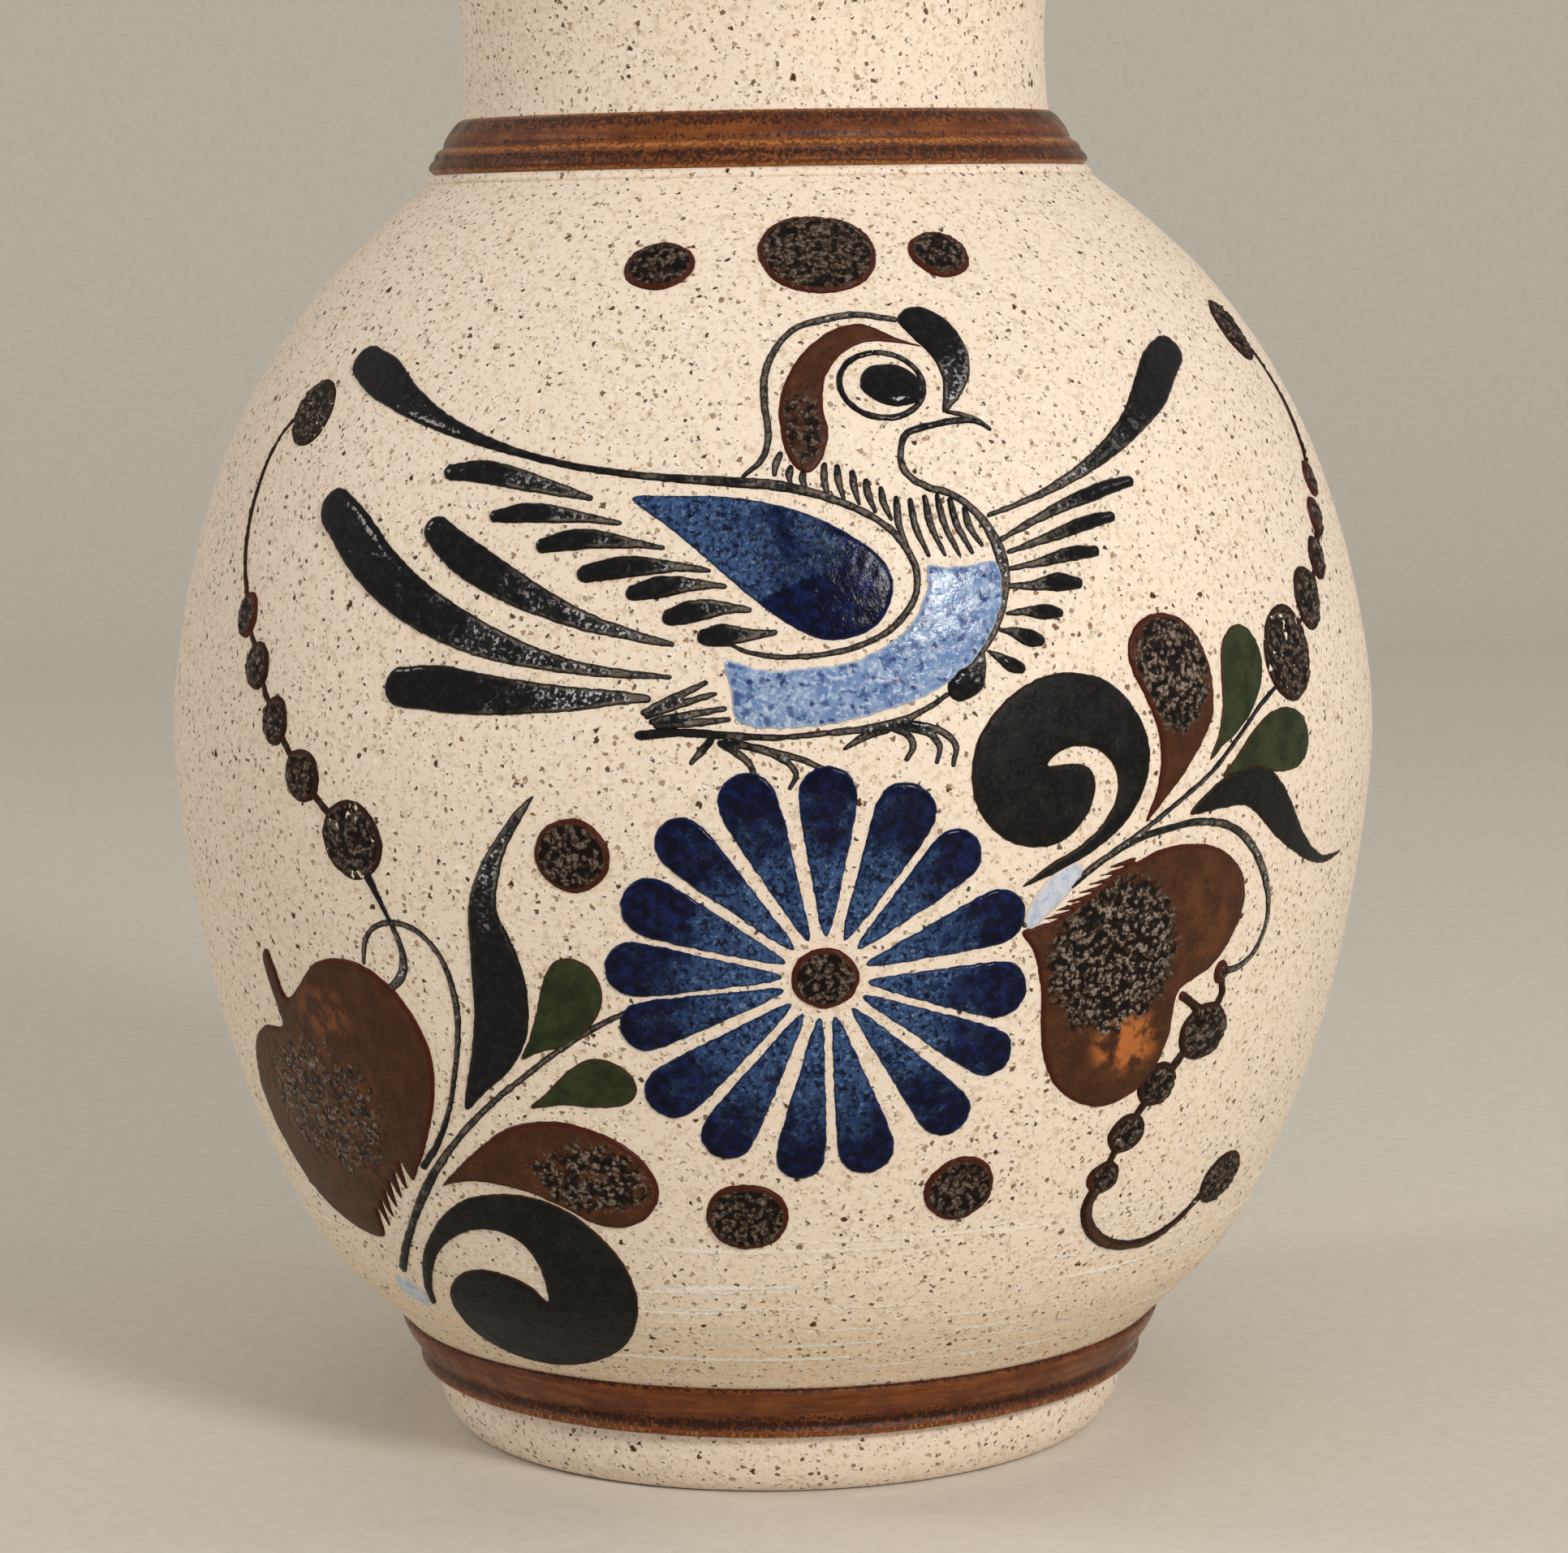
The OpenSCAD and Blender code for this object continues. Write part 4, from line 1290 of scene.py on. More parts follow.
@dataclass
class PaintCoat:
    """One colour's relief paint, cut to the union of its outlines and domed like a wet brush load.

    Lengths are in millimetres. thickness is the paint's height where the brush was wet, dry_tail
    the share of it that is lost by the end of a stroke, round_edge how far in the dome reaches,
    grit and ragged the unevenness of its skin and of its outline, and depth how far it goes into
    the clay. The rest says how close together the points of its mesh are.
    """

    form: ThrownForm
    thickness: float = 0.32
    round_edge: float = 0.55
    dry_tail: float = 0.55
    grit: float = 0.03
    ragged: float = 0.05
    outlines: list[Array] = field(default_factory=list)
    tracks: list[Array] = field(default_factory=list)
    tints: list[tuple[str, Point, float, float, float]] = field(default_factory=list)
    seed: int = 1
    depth: float = 0.12
    thin_edge: float = 0.02
    end_turn: float = 75.0  # degrees of the round end of a stroke on each side of its line
    crust_reach: float = 2.0
    stroke_step: float = 0.35
    spacing: float = 0.42
    edge_spacing: float = 0.26
    row_offsets: Point = (0.13, 0.3)
    row_clearance: float = 0.115
    row_gap: float = 0.14
    grid_squash: float = 0.9
    grid_clearance: float = 0.42

    def stroke(self, points: Points, widths: tuple[float, ...], start: float = 0.0) -> None:
        """Adds a brush stroke.

        Args:
            points: (angle, height) points from the head to the tail.
            widths: Widths in millimetres, spread evenly along it.
            start: How dry the brush is at the head, from 0 to 1.
        """
        flat = self.form.unroll(np.array(points))
        line = smooth_open(flat, 10)
        run = run_of(line)
        even = np.linspace(0, 1, max(8, int(run[-1] / self.stroke_step)))
        line = resampled(line, run / run[-1], even)
        knots = np.linspace(0, 1, len(widths))
        wide = smooth_open(np.stack([knots, widths], axis=1), 8)
        half = np.interp(even, wide[:, 0], wide[:, 1]) / 2 / self.form.scale_at(line)
        side = left_normals(line) * half[:, None]
        ahead = np.stack([side[:, 1], -side[:, 0]], axis=1)
        turn = np.radians(np.linspace(-self.end_turn, self.end_turn, 7))[:, None]
        tail = line[-1] + ahead[-1] * np.cos(turn) - side[-1] * np.sin(turn)
        head = line[0] - ahead[0] * np.cos(turn) + side[0] * np.sin(turn)
        self.outlines.append(np.vstack([line + side, tail, (line - side)[::-1], head]))
        self.tracks.append(np.column_stack([line, start + (1 - start) * even]))

    def patch(self, points: Points, track: Points | None = None) -> None:
        """Adds a filled shape.

        Args:
            points: (angle, height) points of a smooth closed outline.
            track: The way the brush went, from the wet end to the dry end.
        """
        self.outlines.append(smooth_closed(self.form.unroll(np.array(points)), 10))
        if track:
            line = smooth_open(self.form.unroll(np.array(track)), 8)
            self.tracks.append(np.column_stack([line, np.linspace(0, 1, len(line))]))

    def dot(self, centre: Point, half_width: float, half_height: float, turn: float = 0.0) -> None:
        """Adds an oval dab, a little uneven as a brush leaves it.

        Args:
            centre: (angle, height) of its middle.
            half_width: Half its width in millimetres.
            half_height: Half its height in millimetres.
            turn: Degrees by which it is turned to the left.
        """
        u = np.radians(np.arange(0, 360, 8))
        push = 1 + 0.05 * value_noise(np.column_stack([np.cos(u), np.sin(u)]) * 1.6 + 9, len(self.outlines))
        middle = self.form.unroll(np.array([centre]))
        shape = turned_oval(u, half_width * push, half_height * push, turn)
        self.outlines.append(middle + shape / self.form.scale_at(middle)[:, None])

    def bead(self, centre: Point, wide: float, high: float, turn: float = 0.0, crust: float = 0.9) -> None:
        """Adds an oval dab with a crust of grains all over it.

        Args:
            centre: (angle, height) of its middle.
            wide: Half its width in millimetres.
            high: Half its height in millimetres.
            turn: Degrees by which it is turned to the left.
            crust: How thick the crust is, from 0 to 1.
        """
        self.dot(centre, wide, high, turn)
        self.tint("grain", centre, wide + self.crust_reach, high + self.crust_reach, crust)

    def loop(
        self, centre: Point, half_width: float, half_height: float, turn: float, line_width: float
    ) -> None:
        """Adds an oval ring drawn with one stroke.

        Args:
            centre: (angle, height) of its middle.
            half_width: Half its width in millimetres.
            half_height: Half its height in millimetres.
            turn: Degrees by which it is turned to the left.
            line_width: Width of the stroke in millimetres.
        """
        middle = self.form.unroll(np.array([centre]))
        scale = self.form.scale_at(middle)[0]
        u = np.radians(np.arange(100, 461, 12))
        line = middle + turned_oval(u, half_width, half_height, turn) / scale
        side = left_normals(line) * line_width / 2 / scale
        self.outlines.append(np.vstack([line + side, (line - side)[::-1]]))
        self.tracks.append(np.column_stack([line, np.linspace(0.1, 0.7, len(line))]))

    def tint(
        self, kind: str, centre: Point, half_width: float, half_height: float, amount: float = 1.0
    ) -> None:
        """Marks a soft oval where an attribute rises to amount."""
        self.tints.append((kind, centre, half_width, half_height, amount))

    def outline_points(self) -> list[Array]:
        """Spaces the outlines' points evenly and roughens them a little.

        Returns:
            The points of each outline.
        """
        out = []
        for number, shape in enumerate(self.outlines):
            closed = np.vstack([shape, shape[:1]])
            run = run_of(closed)
            count = max(10, int(run[-1] / self.edge_spacing))
            p = resampled(closed, run, np.linspace(0, run[-1], count, endpoint=False))
            noise = value_noise(p * 1.6, self.seed + number) + 0.6 * value_noise(p * 3.5, self.seed + 50)
            out.append(p - left_normals(p, closed=True) * (noise * self.ragged)[:, None])
        return out

    def covered(self, points: Array, shapes: list[Array]) -> Array:
        """Tells which points lie inside any of the shapes.

        Args:
            points: Flat points to test.
            shapes: Closed outlines.

        Returns:
            True for each point inside.
        """
        found = np.zeros(len(points), bool)
        for shape in shapes:
            found |= inside(points, shape)
        return found

    def fill_points(self, shapes: list[Array]) -> Array:
        """Points inside the shapes: rows that follow each edge, and a staggered grid further in.

        Args:
            shapes: Closed outlines.

        Returns:
            The points.
        """
        tree = nearest_tree(np.vstack(shapes))
        rows = np.vstack([
            shape + left_normals(shape, closed=True) * offset * way
            for offset in self.row_offsets for shape in shapes for way in (-1, 1)
        ])  # fmt: skip
        rows = rows[self.covered(rows, shapes)]
        rows = rows[distances(tree, rows) > self.row_clearance]
        keep, seen = [], set()
        for index, p in enumerate(rows):
            cell = (round(p[0] / self.row_gap), round(p[1] / self.row_gap))
            if cell not in seen:
                seen.add(cell)
                keep.append(index)
        pitch = np.array([self.spacing, self.spacing * self.grid_squash])
        cells = []
        for shape in shapes:
            low, high = np.floor(shape.min(0) / pitch), np.ceil(shape.max(0) / pitch) + 1
            x, y = np.meshgrid(np.arange(low[0], high[0]), np.arange(low[1], high[1]))
            cells.append(np.stack([x.ravel(), y.ravel()], axis=1))
        cells = np.unique(np.vstack(cells), axis=0)
        grid = np.stack([cells[:, 0] + 0.5 * (cells[:, 1] % 2), cells[:, 1] * self.grid_squash], axis=1)
        grid = grid * self.spacing
        grid = grid[self.covered(grid, shapes)]
        return np.vstack([rows[keep], grid[distances(tree, grid) > self.grid_clearance]])

    def build(self, name: str, nodes: tuple[str, ...], slot: Slot, palette: Palette) -> bpy.types.Object:
        """Cuts, domes and wraps the coat.

        Args:
            name: Name of the piece.
            nodes: The frame's nodes that it stands for.
            slot: Its material slot.
            palette: All finishes.

        Returns:
            The piece.
        """
        shapes = self.outline_points()
        inner = self.fill_points(shapes)
        points = np.vstack([*shapes, inner])
        edges, first = [], 0
        for shape in shapes:
            n = len(shape)
            edges += [(first + k, first + (k + 1) % n) for k in range(n)]
            first += n
        cut = geometry.delaunay_2d_cdt([Vector(p) for p in points], edges, [], 0, 1e-5, False)
        flat = np.array([tuple(v) for v in cut[0]])
        triangles = np.array([f for f in cut[2] if len(f) == 3])
        triangles = triangles[self.covered(flat[triangles].mean(1), shapes)]
        used = np.unique(triangles)
        renumber = np.full(len(flat), -1)
        renumber[used] = np.arange(len(used))
        flat, triangles = flat[used], renumber[triangles]
        sides = np.sort(np.vstack([triangles[:, pair] for pair in ([0, 1], [1, 2], [2, 0])]), axis=1)
        pairs, count = np.unique(sides, axis=0, return_counts=True)
        rim = pairs[count == 1]
        edge = self.edge_distance(flat, rim)
        along = self.along(flat)
        # the second attribute holds the painted highlight of the oxide
        values = {kind: self.field(flat, kind) for kind in ("grain", "painted_highlight")}
        lift = self.lift(flat, edge, along, values["grain"])
        top = self.form.wrap(flat, lift)
        bottom = self.form.wrap(flat, np.full(len(flat), -self.depth))
        n = len(flat)
        faces = [tuple(t) for t in triangles] + [(t[0] + n, t[2] + n, t[1] + n) for t in triangles]
        faces += [(a, b, b + n, a + n) for a, b in rim]
        doubled = {key: np.tile(v, 2) for key, v in {"edge": edge, "along": along, **values}.items()}
        piece = make_object(name, np.vstack([top, bottom]), faces, doubled, palette[slot])
        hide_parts(*nodes)
        log.info("%s: %d faces", name, len(faces))
        return piece

    def edge_distance(self, flat: Array, rim: Array) -> Array:
        """Real distance in millimetres from each point to the edge of the paint.

        Args:
            flat: Flat points.
            rim: Pairs of corner numbers, one for each side of the outline.

        Returns:
            The distances.
        """
        a, b = flat[rim[:, 0]], flat[rim[:, 1]]
        samples = np.vstack([a + (b - a) * t for t in (0, 0.25, 0.5, 0.75)])
        return distances(nearest_tree(samples), flat) * self.form.scale_at(flat)

    def along(self, flat: Array) -> Array:
        """Tells how far along its brush stroke each point lies.

        Args:
            flat: Flat points.

        Returns:
            A value for each point, from 0 at the head to 1.
        """
        if not self.tracks:
            return np.zeros(len(flat))
        track = np.vstack(self.tracks)
        tree = nearest_tree(track[:, :2])
        return np.array([track[tree.find((*p, 0))[1], 2] for p in flat])

    def field(self, flat: Array, kind: str) -> Array:
        """An attribute made of the soft ovals that tint() marked.

        Args:
            flat: Flat points.
            kind: The attribute.

        Returns:
            A value for each point, from 0 to 1.
        """
        total = np.zeros(len(flat))
        for name, centre, wide, high, amount in self.tints:
            if name == kind:
                middle = self.form.unroll(np.array([centre]))
                d = (flat - middle) * self.form.scale_at(middle) / (wide, high)
                total = np.maximum(total, amount * smoothstep(1.35, 0.6, np.linalg.norm(d, axis=1)))
        return total

    def lift(self, flat: Array, edge: Array, along: Array, grain: Array) -> Array:
        """Height of the paint above the glaze.

        Args:
            flat: Flat points.
            edge: Distance of each point from the edge.
            along: How far along its stroke each point lies.
            grain: How thick the crust is at each point.

        Returns:
            The height of each point in millimetres.
        """
        t = np.clip(edge / self.round_edge, 0, 1)
        dome = np.sqrt(np.maximum(1 - (1 - t) ** 2, 0))
        wet = 1 - self.dry_tail * smoothstep(0.2, 1.0, along)
        rough = value_noise(flat * 2.1, self.seed + 3) + 0.5 * value_noise(flat * 4.3, self.seed + 4)
        gritty = self.grit * (1 + 1.6 * grain + 1.2 * smoothstep(0.4, 1.0, along))
        return self.thin_edge + (self.thickness * wet + rough * gritty) * dome


def nearest_tree(points: Array) -> kdtree.KDTree:
    """Makes a search tree of flat points.

    Args:
        points: The points.

    Returns:
        The tree.
    """
    tree = kdtree.KDTree(len(points))
    for index, p in enumerate(points):
        tree.insert((p[0], p[1], 0), index)
    tree.balance()
    return tree


def distances(tree: kdtree.KDTree, points: Array) -> Array:
    """Distance from each point to the nearest one of the tree."""
    return np.array([tree.find((p[0], p[1], 0))[2] for p in points])


@dataclass
class Motif:
    """What every painted sub-assembly works with."""

    form: ThrownForm
    palette: Palette

    def coat(self, **settings: float) -> PaintCoat:
        """A new coat of paint on this vase."""
        return PaintCoat(self.form, **settings)

    def lay(self, coat: PaintCoat, name: str, slot: Slot, *nodes: str) -> None:
        """Builds a coat in place of the frame's nodes."""
        coat.build(f"{name}_paint", nodes or (name,), slot, self.palette)


# Outlines and strokes are laid out several points to a line.
# fmt: off


@dataclass
class Bird(Motif):
    """The bird: outline and hatching, head, wing, belly wash, feathers and legs."""

    back: Points = (
        (-49.4, 126.4), (-45, 124.8), (-40, 122.5), (-34.5, 120.3), (-28, 118.2), (-20, 116.2), (-12, 115),
        (-4, 114.3), (1, 113.8), (5, 112.7), (8.5, 111.1), (11.2, 109), (12.8, 106.2), (13.1, 103.6),
        (12.2, 101.2), (10, 98.8), (6.5, 97.2), (2, 96.6), (-1.5, 97), (-3.6, 98),
    )
    back_widths: tuple[float, ...] = (
        4.2, 5.0, 3.8, 2.7, 1.8, 1.25, 0.9, 0.8, 0.8, 0.9,
        1.1, 1.2, 1.0, 0.8, 0.8, 0.75, 0.7, 0.65, 0.55, 0.45,
    )

    def lines(self) -> None:
        """The back, head and breast lines."""
        back = self.coat(thickness=0.3, seed=11)
        back.stroke(self.back, self.back_widths)
        back.stroke(((-2.2, 114.8), (-0.4, 116.6), (0.2, 119), (-0.1, 122), (0, 125), (1.2, 127.6),
            (3.4, 129.6), (6.4, 130.4), (10.2, 130.9), (14.6, 130.3)), (0.55, 0.7, 0.75, 0.85, 0.8, 0.75,
            0.8, 0.95, 0.85, 0.8), start=0.55)
        self.lay(back, "back_line", Slot.BLACK, "bird_back_line")

        breast = self.coat(thickness=0.24, seed=12)
        breast.stroke(((18.2, 120.8), (19.6, 120.5), (21.2, 119.9), (22.2, 119)), (0.5, 0.6, 0.55, 0.4),
            start=0.5)
        breast.stroke(((22.3, 118.9), (21.4, 119.6), (19.6, 119.9), (17.4, 119.7), (15, 119.2),
            (13.5, 118.6), (12.9, 117), (12.8, 115.6), (13.4, 114.4), (15, 113.3), (17, 112.6),
            (18.8, 111.2), (20.2, 109.2), (21.1, 106.6), (21.3, 104), (20.9, 101.6), (20, 99.2),
            (18.8, 97), (17.2, 95)), (0.5, 0.7, 0.8, 0.75, 0.8, 0.7, 0.7, 0.8, 0.85, 0.85, 0.9, 1.05, 1.3,
            1.4, 1.2, 1.0, 0.9, 0.7, 0.45), start=0.4)
        self.lay(breast, "breast_line", Slot.BLACK, "bird_breast_line")

    def head(self) -> None:
        """Crest, brown crescent, eye and the hatching of the neck."""
        crest = self.coat(thickness=0.34, seed=13, dry_tail=0.5)
        crest.patch(((14.9, 130.2), (16.2, 131.4), (18.4, 131.4), (20.8, 129.9), (22, 127.3),
            (21.6, 124.7), (20.3, 122.7), (18.9, 121.4), (17.7, 120.7), (18.1, 122.4), (18.4, 124.4),
            (17.7, 126.6), (16.1, 128.5)), track=((16, 130.6), (19.4, 128), (19.8, 124.4), (18, 120.8)))
        self.lay(crest, "crest", Slot.BLACK, "bird_crest")

        crescent = self.coat(thickness=0.2, seed=14, grit=0.05)
        crescent.patch(((17, 127.5), (14, 128.6), (11, 129.9), (8, 129.6), (4.8, 127.8), (2.4, 125),
            (1.3, 121.6), (1.5, 118.6), (2, 116.6), (2.9, 115.4), (3.8, 115), (4.7, 115.6), (5.6, 117.2),
            (6, 119.2), (5.7, 121.6), (6.2, 124.6), (8, 126.8), (10.6, 128), (13.6, 128)))
        crescent.tint("grain", (3.4, 119.5), 2.6, 5, 0.55)
        self.lay(crescent, "head_crescent", Slot.BROWN, "bird_head_crescent")

        ring = self.coat(thickness=0.2, seed=15)
        ring.loop((11.9, 123.8), 4.45, 3.85, -6, 0.7)
        self.lay(ring, "eye_ring", Slot.BLACK, "bird_eye_ring")

        pupil = self.coat(thickness=0.55, seed=16, round_edge=1.6, grit=0.01)
        pupil.dot((12.9, 123.7), 3.35, 2.45, -12)
        self.lay(pupil, "pupil", Slot.BLACK, "bird_pupil")

        hatch = self.coat(thickness=0.22, seed=17, spacing=0.36)
        tops = (
            (1.3, 117), (2.2, 115.6), (3.4, 115.3), (5.4, 115.8), (6.6, 115.6), (8, 115), (9.2, 114.1),
            (10.5, 113.3), (11.9, 112.3), (13.2, 112), (14.6, 112.3), (15.8, 112.4), (17, 111.9),
            (18.3, 111),
        )
        feet = (
            (0.7, 114.9), (2.2, 113.9), (3.5, 113.4), (5.5, 112.9), (7, 112.4), (8.4, 111.8), (9.8, 111),
            (11.2, 110.2), (12.6, 106.9), (14.4, 106.4), (15.9, 106.4), (17.3, 106.3), (18.5, 106.5),
            (19.5, 107.2),
        )
        for k, (top, foot) in enumerate(zip(tops, feet, strict=True)):
            bow = 0.35 if k > 7 else 0.15
            middle = ((top[0] + foot[0]) / 2 - bow, (top[1] + foot[1]) / 2)
            hatch.stroke((top, middle, foot), (0.6, 0.85, 0.7, 0.45), start=0.35)
        self.lay(hatch, "neck_hatching", Slot.BLACK)

    def body(self) -> None:
        """The wing and the washed belly."""
        wing = self.coat(thickness=0.3, seed=18, dry_tail=0.25)
        wing.patch(((-12.6, 112.7), (-8.6, 112.9), (-4, 112.8), (0, 112.1), (3.6, 110.9), (7, 109),
            (9.8, 106.6), (10.9, 104.2), (10.5, 101.6), (8.8, 99.2), (6, 98.2), (3.6, 98.6), (1, 100.3),
            (-2, 103), (-5.4, 106.4), (-9, 109.7)), track=((6, 101), (6.5, 106), (2, 109), (-4, 110.5),
            (-10, 112.2)))
        self.lay(wing, "wing", Slot.NAVY, "bird_wing")

        belly = self.coat(thickness=0.2, seed=19, ragged=0.09)
        belly.patch(((-3.9, 96.3), (-1, 95.4), (3, 95.4), (7, 96), (10.4, 97.8), (12.6, 100.2),
            (13.9, 103), (14.1, 105.4), (15.6, 105.2), (18.4, 105.3), (20.6, 105.5), (21, 103),
            (20.4, 100.4), (18.9, 97.4), (16.6, 94.6), (13.4, 92.4), (9, 90.7), (4, 89.6), (-0.6, 89.4),
            (-3, 90.4), (-3.4, 93)))
        self.lay(belly, "belly_wash", Slot.SKY, "bird_belly_patch")

    def feathers(self) -> None:
        """Wing, tail and breast feathers."""
        wing = self.coat(thickness=0.4, seed=21, round_edge=0.7)
        for points, widths in (
            (((-31.8, 115.2), (-28, 115.3), (-22.5, 114.2), (-16.6, 112.7)), (1.8, 2.6, 2.3, 1.6, 0.6)),
            (((-26, 110.8), (-22.4, 111.2), (-17.5, 110.8), (-13.6, 110.2)), (1.4, 2.2, 1.9, 1.1, 0.5)),
            (((-20.8, 107.9), (-17, 108.6), (-12.6, 108.2), (-9.5, 107.7)), (1.7, 2.3, 1.9, 1.1, 0.5)),
            (((-16.5, 105.1), (-12.8, 105.8), (-8.4, 105.8), (-5.3, 105.4)), (1.9, 2.4, 2.0, 1.1, 0.5)),
            (((-12, 103.2), (-9.4, 103.8), (-6.5, 104), (-3.9, 103.8)), (1.8, 2.3, 1.9, 1.1, 0.5)),
            (((-8.7, 100.7), (-6.4, 101.4), (-3.8, 101.6), (-1.8, 101.4)), (1.8, 2.4, 2.0, 1.2, 0.6)),
            (((-5.6, 98.7), (-3.8, 98.9), (-1.6, 98.9), (0.3, 99.1)), (1.8, 2.4, 1.8, 1.1, 0.7)),
        ):
            wing.stroke(points, widths)
        self.lay(wing, "wing_feathers", Slot.BLACK)

        tail = self.coat(thickness=0.42, seed=22, round_edge=0.9)
        tail.stroke(((-45.9, 111), (-43.2, 109.1), (-38, 104.7), (-32, 100.9), (-25, 97.8), (-18, 95.8),
            (-12.5, 95), (-8.7, 94.7)), (4.8, 5.7, 5.5, 5.1, 4.5, 3.7, 2.6, 1.6, 1.0, 0.5))
        tail.stroke(((-32.2, 109.2), (-29.6, 107.2), (-24, 103.9), (-17.6, 100.8), (-12, 98.9),
            (-8.5, 98)), (3.3, 4.1, 3.8, 3.0, 2.1, 1.3, 0.6))
        tail.stroke(((-34.3, 93), (-31, 93.1), (-25, 92.6), (-18, 92.4), (-13.4, 92.6), (-10.6, 92.5)),
            (4.3, 4.9, 4.5, 3.7, 2.8, 1.9, 0.8))
        self.lay(tail, "tail_feathers", Slot.BLACK)

        hatch = self.coat(thickness=0.18, seed=23)
        for points in (
            ((-10.9, 91.1), (-8.6, 92.4), (-5.6, 94.1)),
            ((-10.6, 90.8), (-8, 91.9), (-4.8, 93)),
            ((-10.2, 90.2), (-7, 90.9), (-4, 91.5)),
            ((-9.8, 89.8), (-6.6, 90.1), (-3.7, 90.4)),
        ):
            hatch.stroke(points, (0.75, 0.9, 0.55), start=0.5)
        self.lay(hatch, "tail_hatching", Slot.BLACK)

        breast = self.coat(thickness=0.4, seed=24, round_edge=0.7)
        breast.stroke(((50, 126.1), (47, 124.6), (43, 121.5), (38, 118), (32.5, 114.9), (26.5, 112.2),
            (20.6, 110.2)), (4.0, 4.8, 4.4, 3.1, 2.3, 1.6, 1.1, 0.7, 0.5))
        for points, widths in (
            (((36.6, 112.9), (33, 112.2), (27, 110.3), (21.2, 107.6)), (1.3, 1.7, 1.4, 0.9, 0.5)),
            (((33.4, 109.4), (30.4, 108.9), (26, 107.6), (22, 106.4)), (1.2, 1.6, 1.4, 0.9, 0.5)),
            (((30.9, 106), (28.4, 105.9), (25, 105.2), (21.8, 104.7)), (1.2, 1.6, 1.3, 0.8, 0.5)),
            (((28.5, 102.9), (26.4, 103.1), (23.6, 102.9), (21.5, 103)), (1.3, 2.0, 1.5, 0.9, 0.6)),
            (((26.2, 100), (24.4, 100.2), (22.6, 100.3), (21.1, 100.2)), (1.1, 1.7, 1.3, 0.8, 0.4)),
            (((24, 97.3), (22.8, 97.7), (21.4, 98.3), (20.2, 98.6)), (1.3, 1.9, 1.5, 0.9, 0.4)),
            (((21.9, 94.6), (21, 95), (20, 95.8), (19, 96.5)), (1.2, 1.7, 1.3, 0.8, 0.4)),
        ):
            breast.stroke(points, widths)
        breast.stroke(((16.2, 92.9), (17.2, 93.7), (18, 95), (18.4, 96.2)), (2.8, 3.2, 2.0, 0.8))
        self.lay(breast, "breast_feathers", Slot.BLACK)

    def legs(self) -> None:
        """The line under the belly and both feet."""
        legs = self.coat(thickness=0.22, seed=25)
        legs.stroke(((-11.3, 88.8), (-8, 89.1), (-4, 88.8), (0, 88.5), (4, 88.8), (8, 89.2), (11, 89.9),
            (13.2, 91), (15, 92.3)), (1.0, 0.9, 0.9, 0.7, 0.6, 0.7, 0.9, 0.7, 0.5), start=0.25)
        for points in (
            ((-5.2, 88.3), (-6, 87.2), (-6.9, 86)),
            ((-4.4, 88), (-2.8, 86.8), (-1.9, 85.6), (-1.6, 84.4)),
            ((-4, 88.1), (-1, 87.3), (0.9, 86.2), (1.9, 84.8), (1.3, 83.3)),
            ((-3.2, 88), (0.4, 86.9), (2.4, 86.2), (4.6, 84.9)),
            ((9.6, 89), (8, 88.5), (6.9, 87.9), (6, 87.2)),
            ((10, 89.2), (11.4, 88.4), (11.8, 87.2), (11.2, 85.9)),
            ((10.6, 89.4), (13, 88.6), (14.1, 87.2), (13.8, 85.5)),
            ((11, 89.7), (14, 88.8), (15.5, 87.2), (15.2, 85.1)),
        ):
            legs.stroke(points, (0.8, 0.85, 0.75, 0.5), start=0.3)
        self.lay(legs, "legs", Slot.BLACK, "bird_legs")

    def build(self) -> None:
        """Paints the whole bird."""
        self.body()
        self.lines()
        self.head()
        self.feathers()
        self.legs()


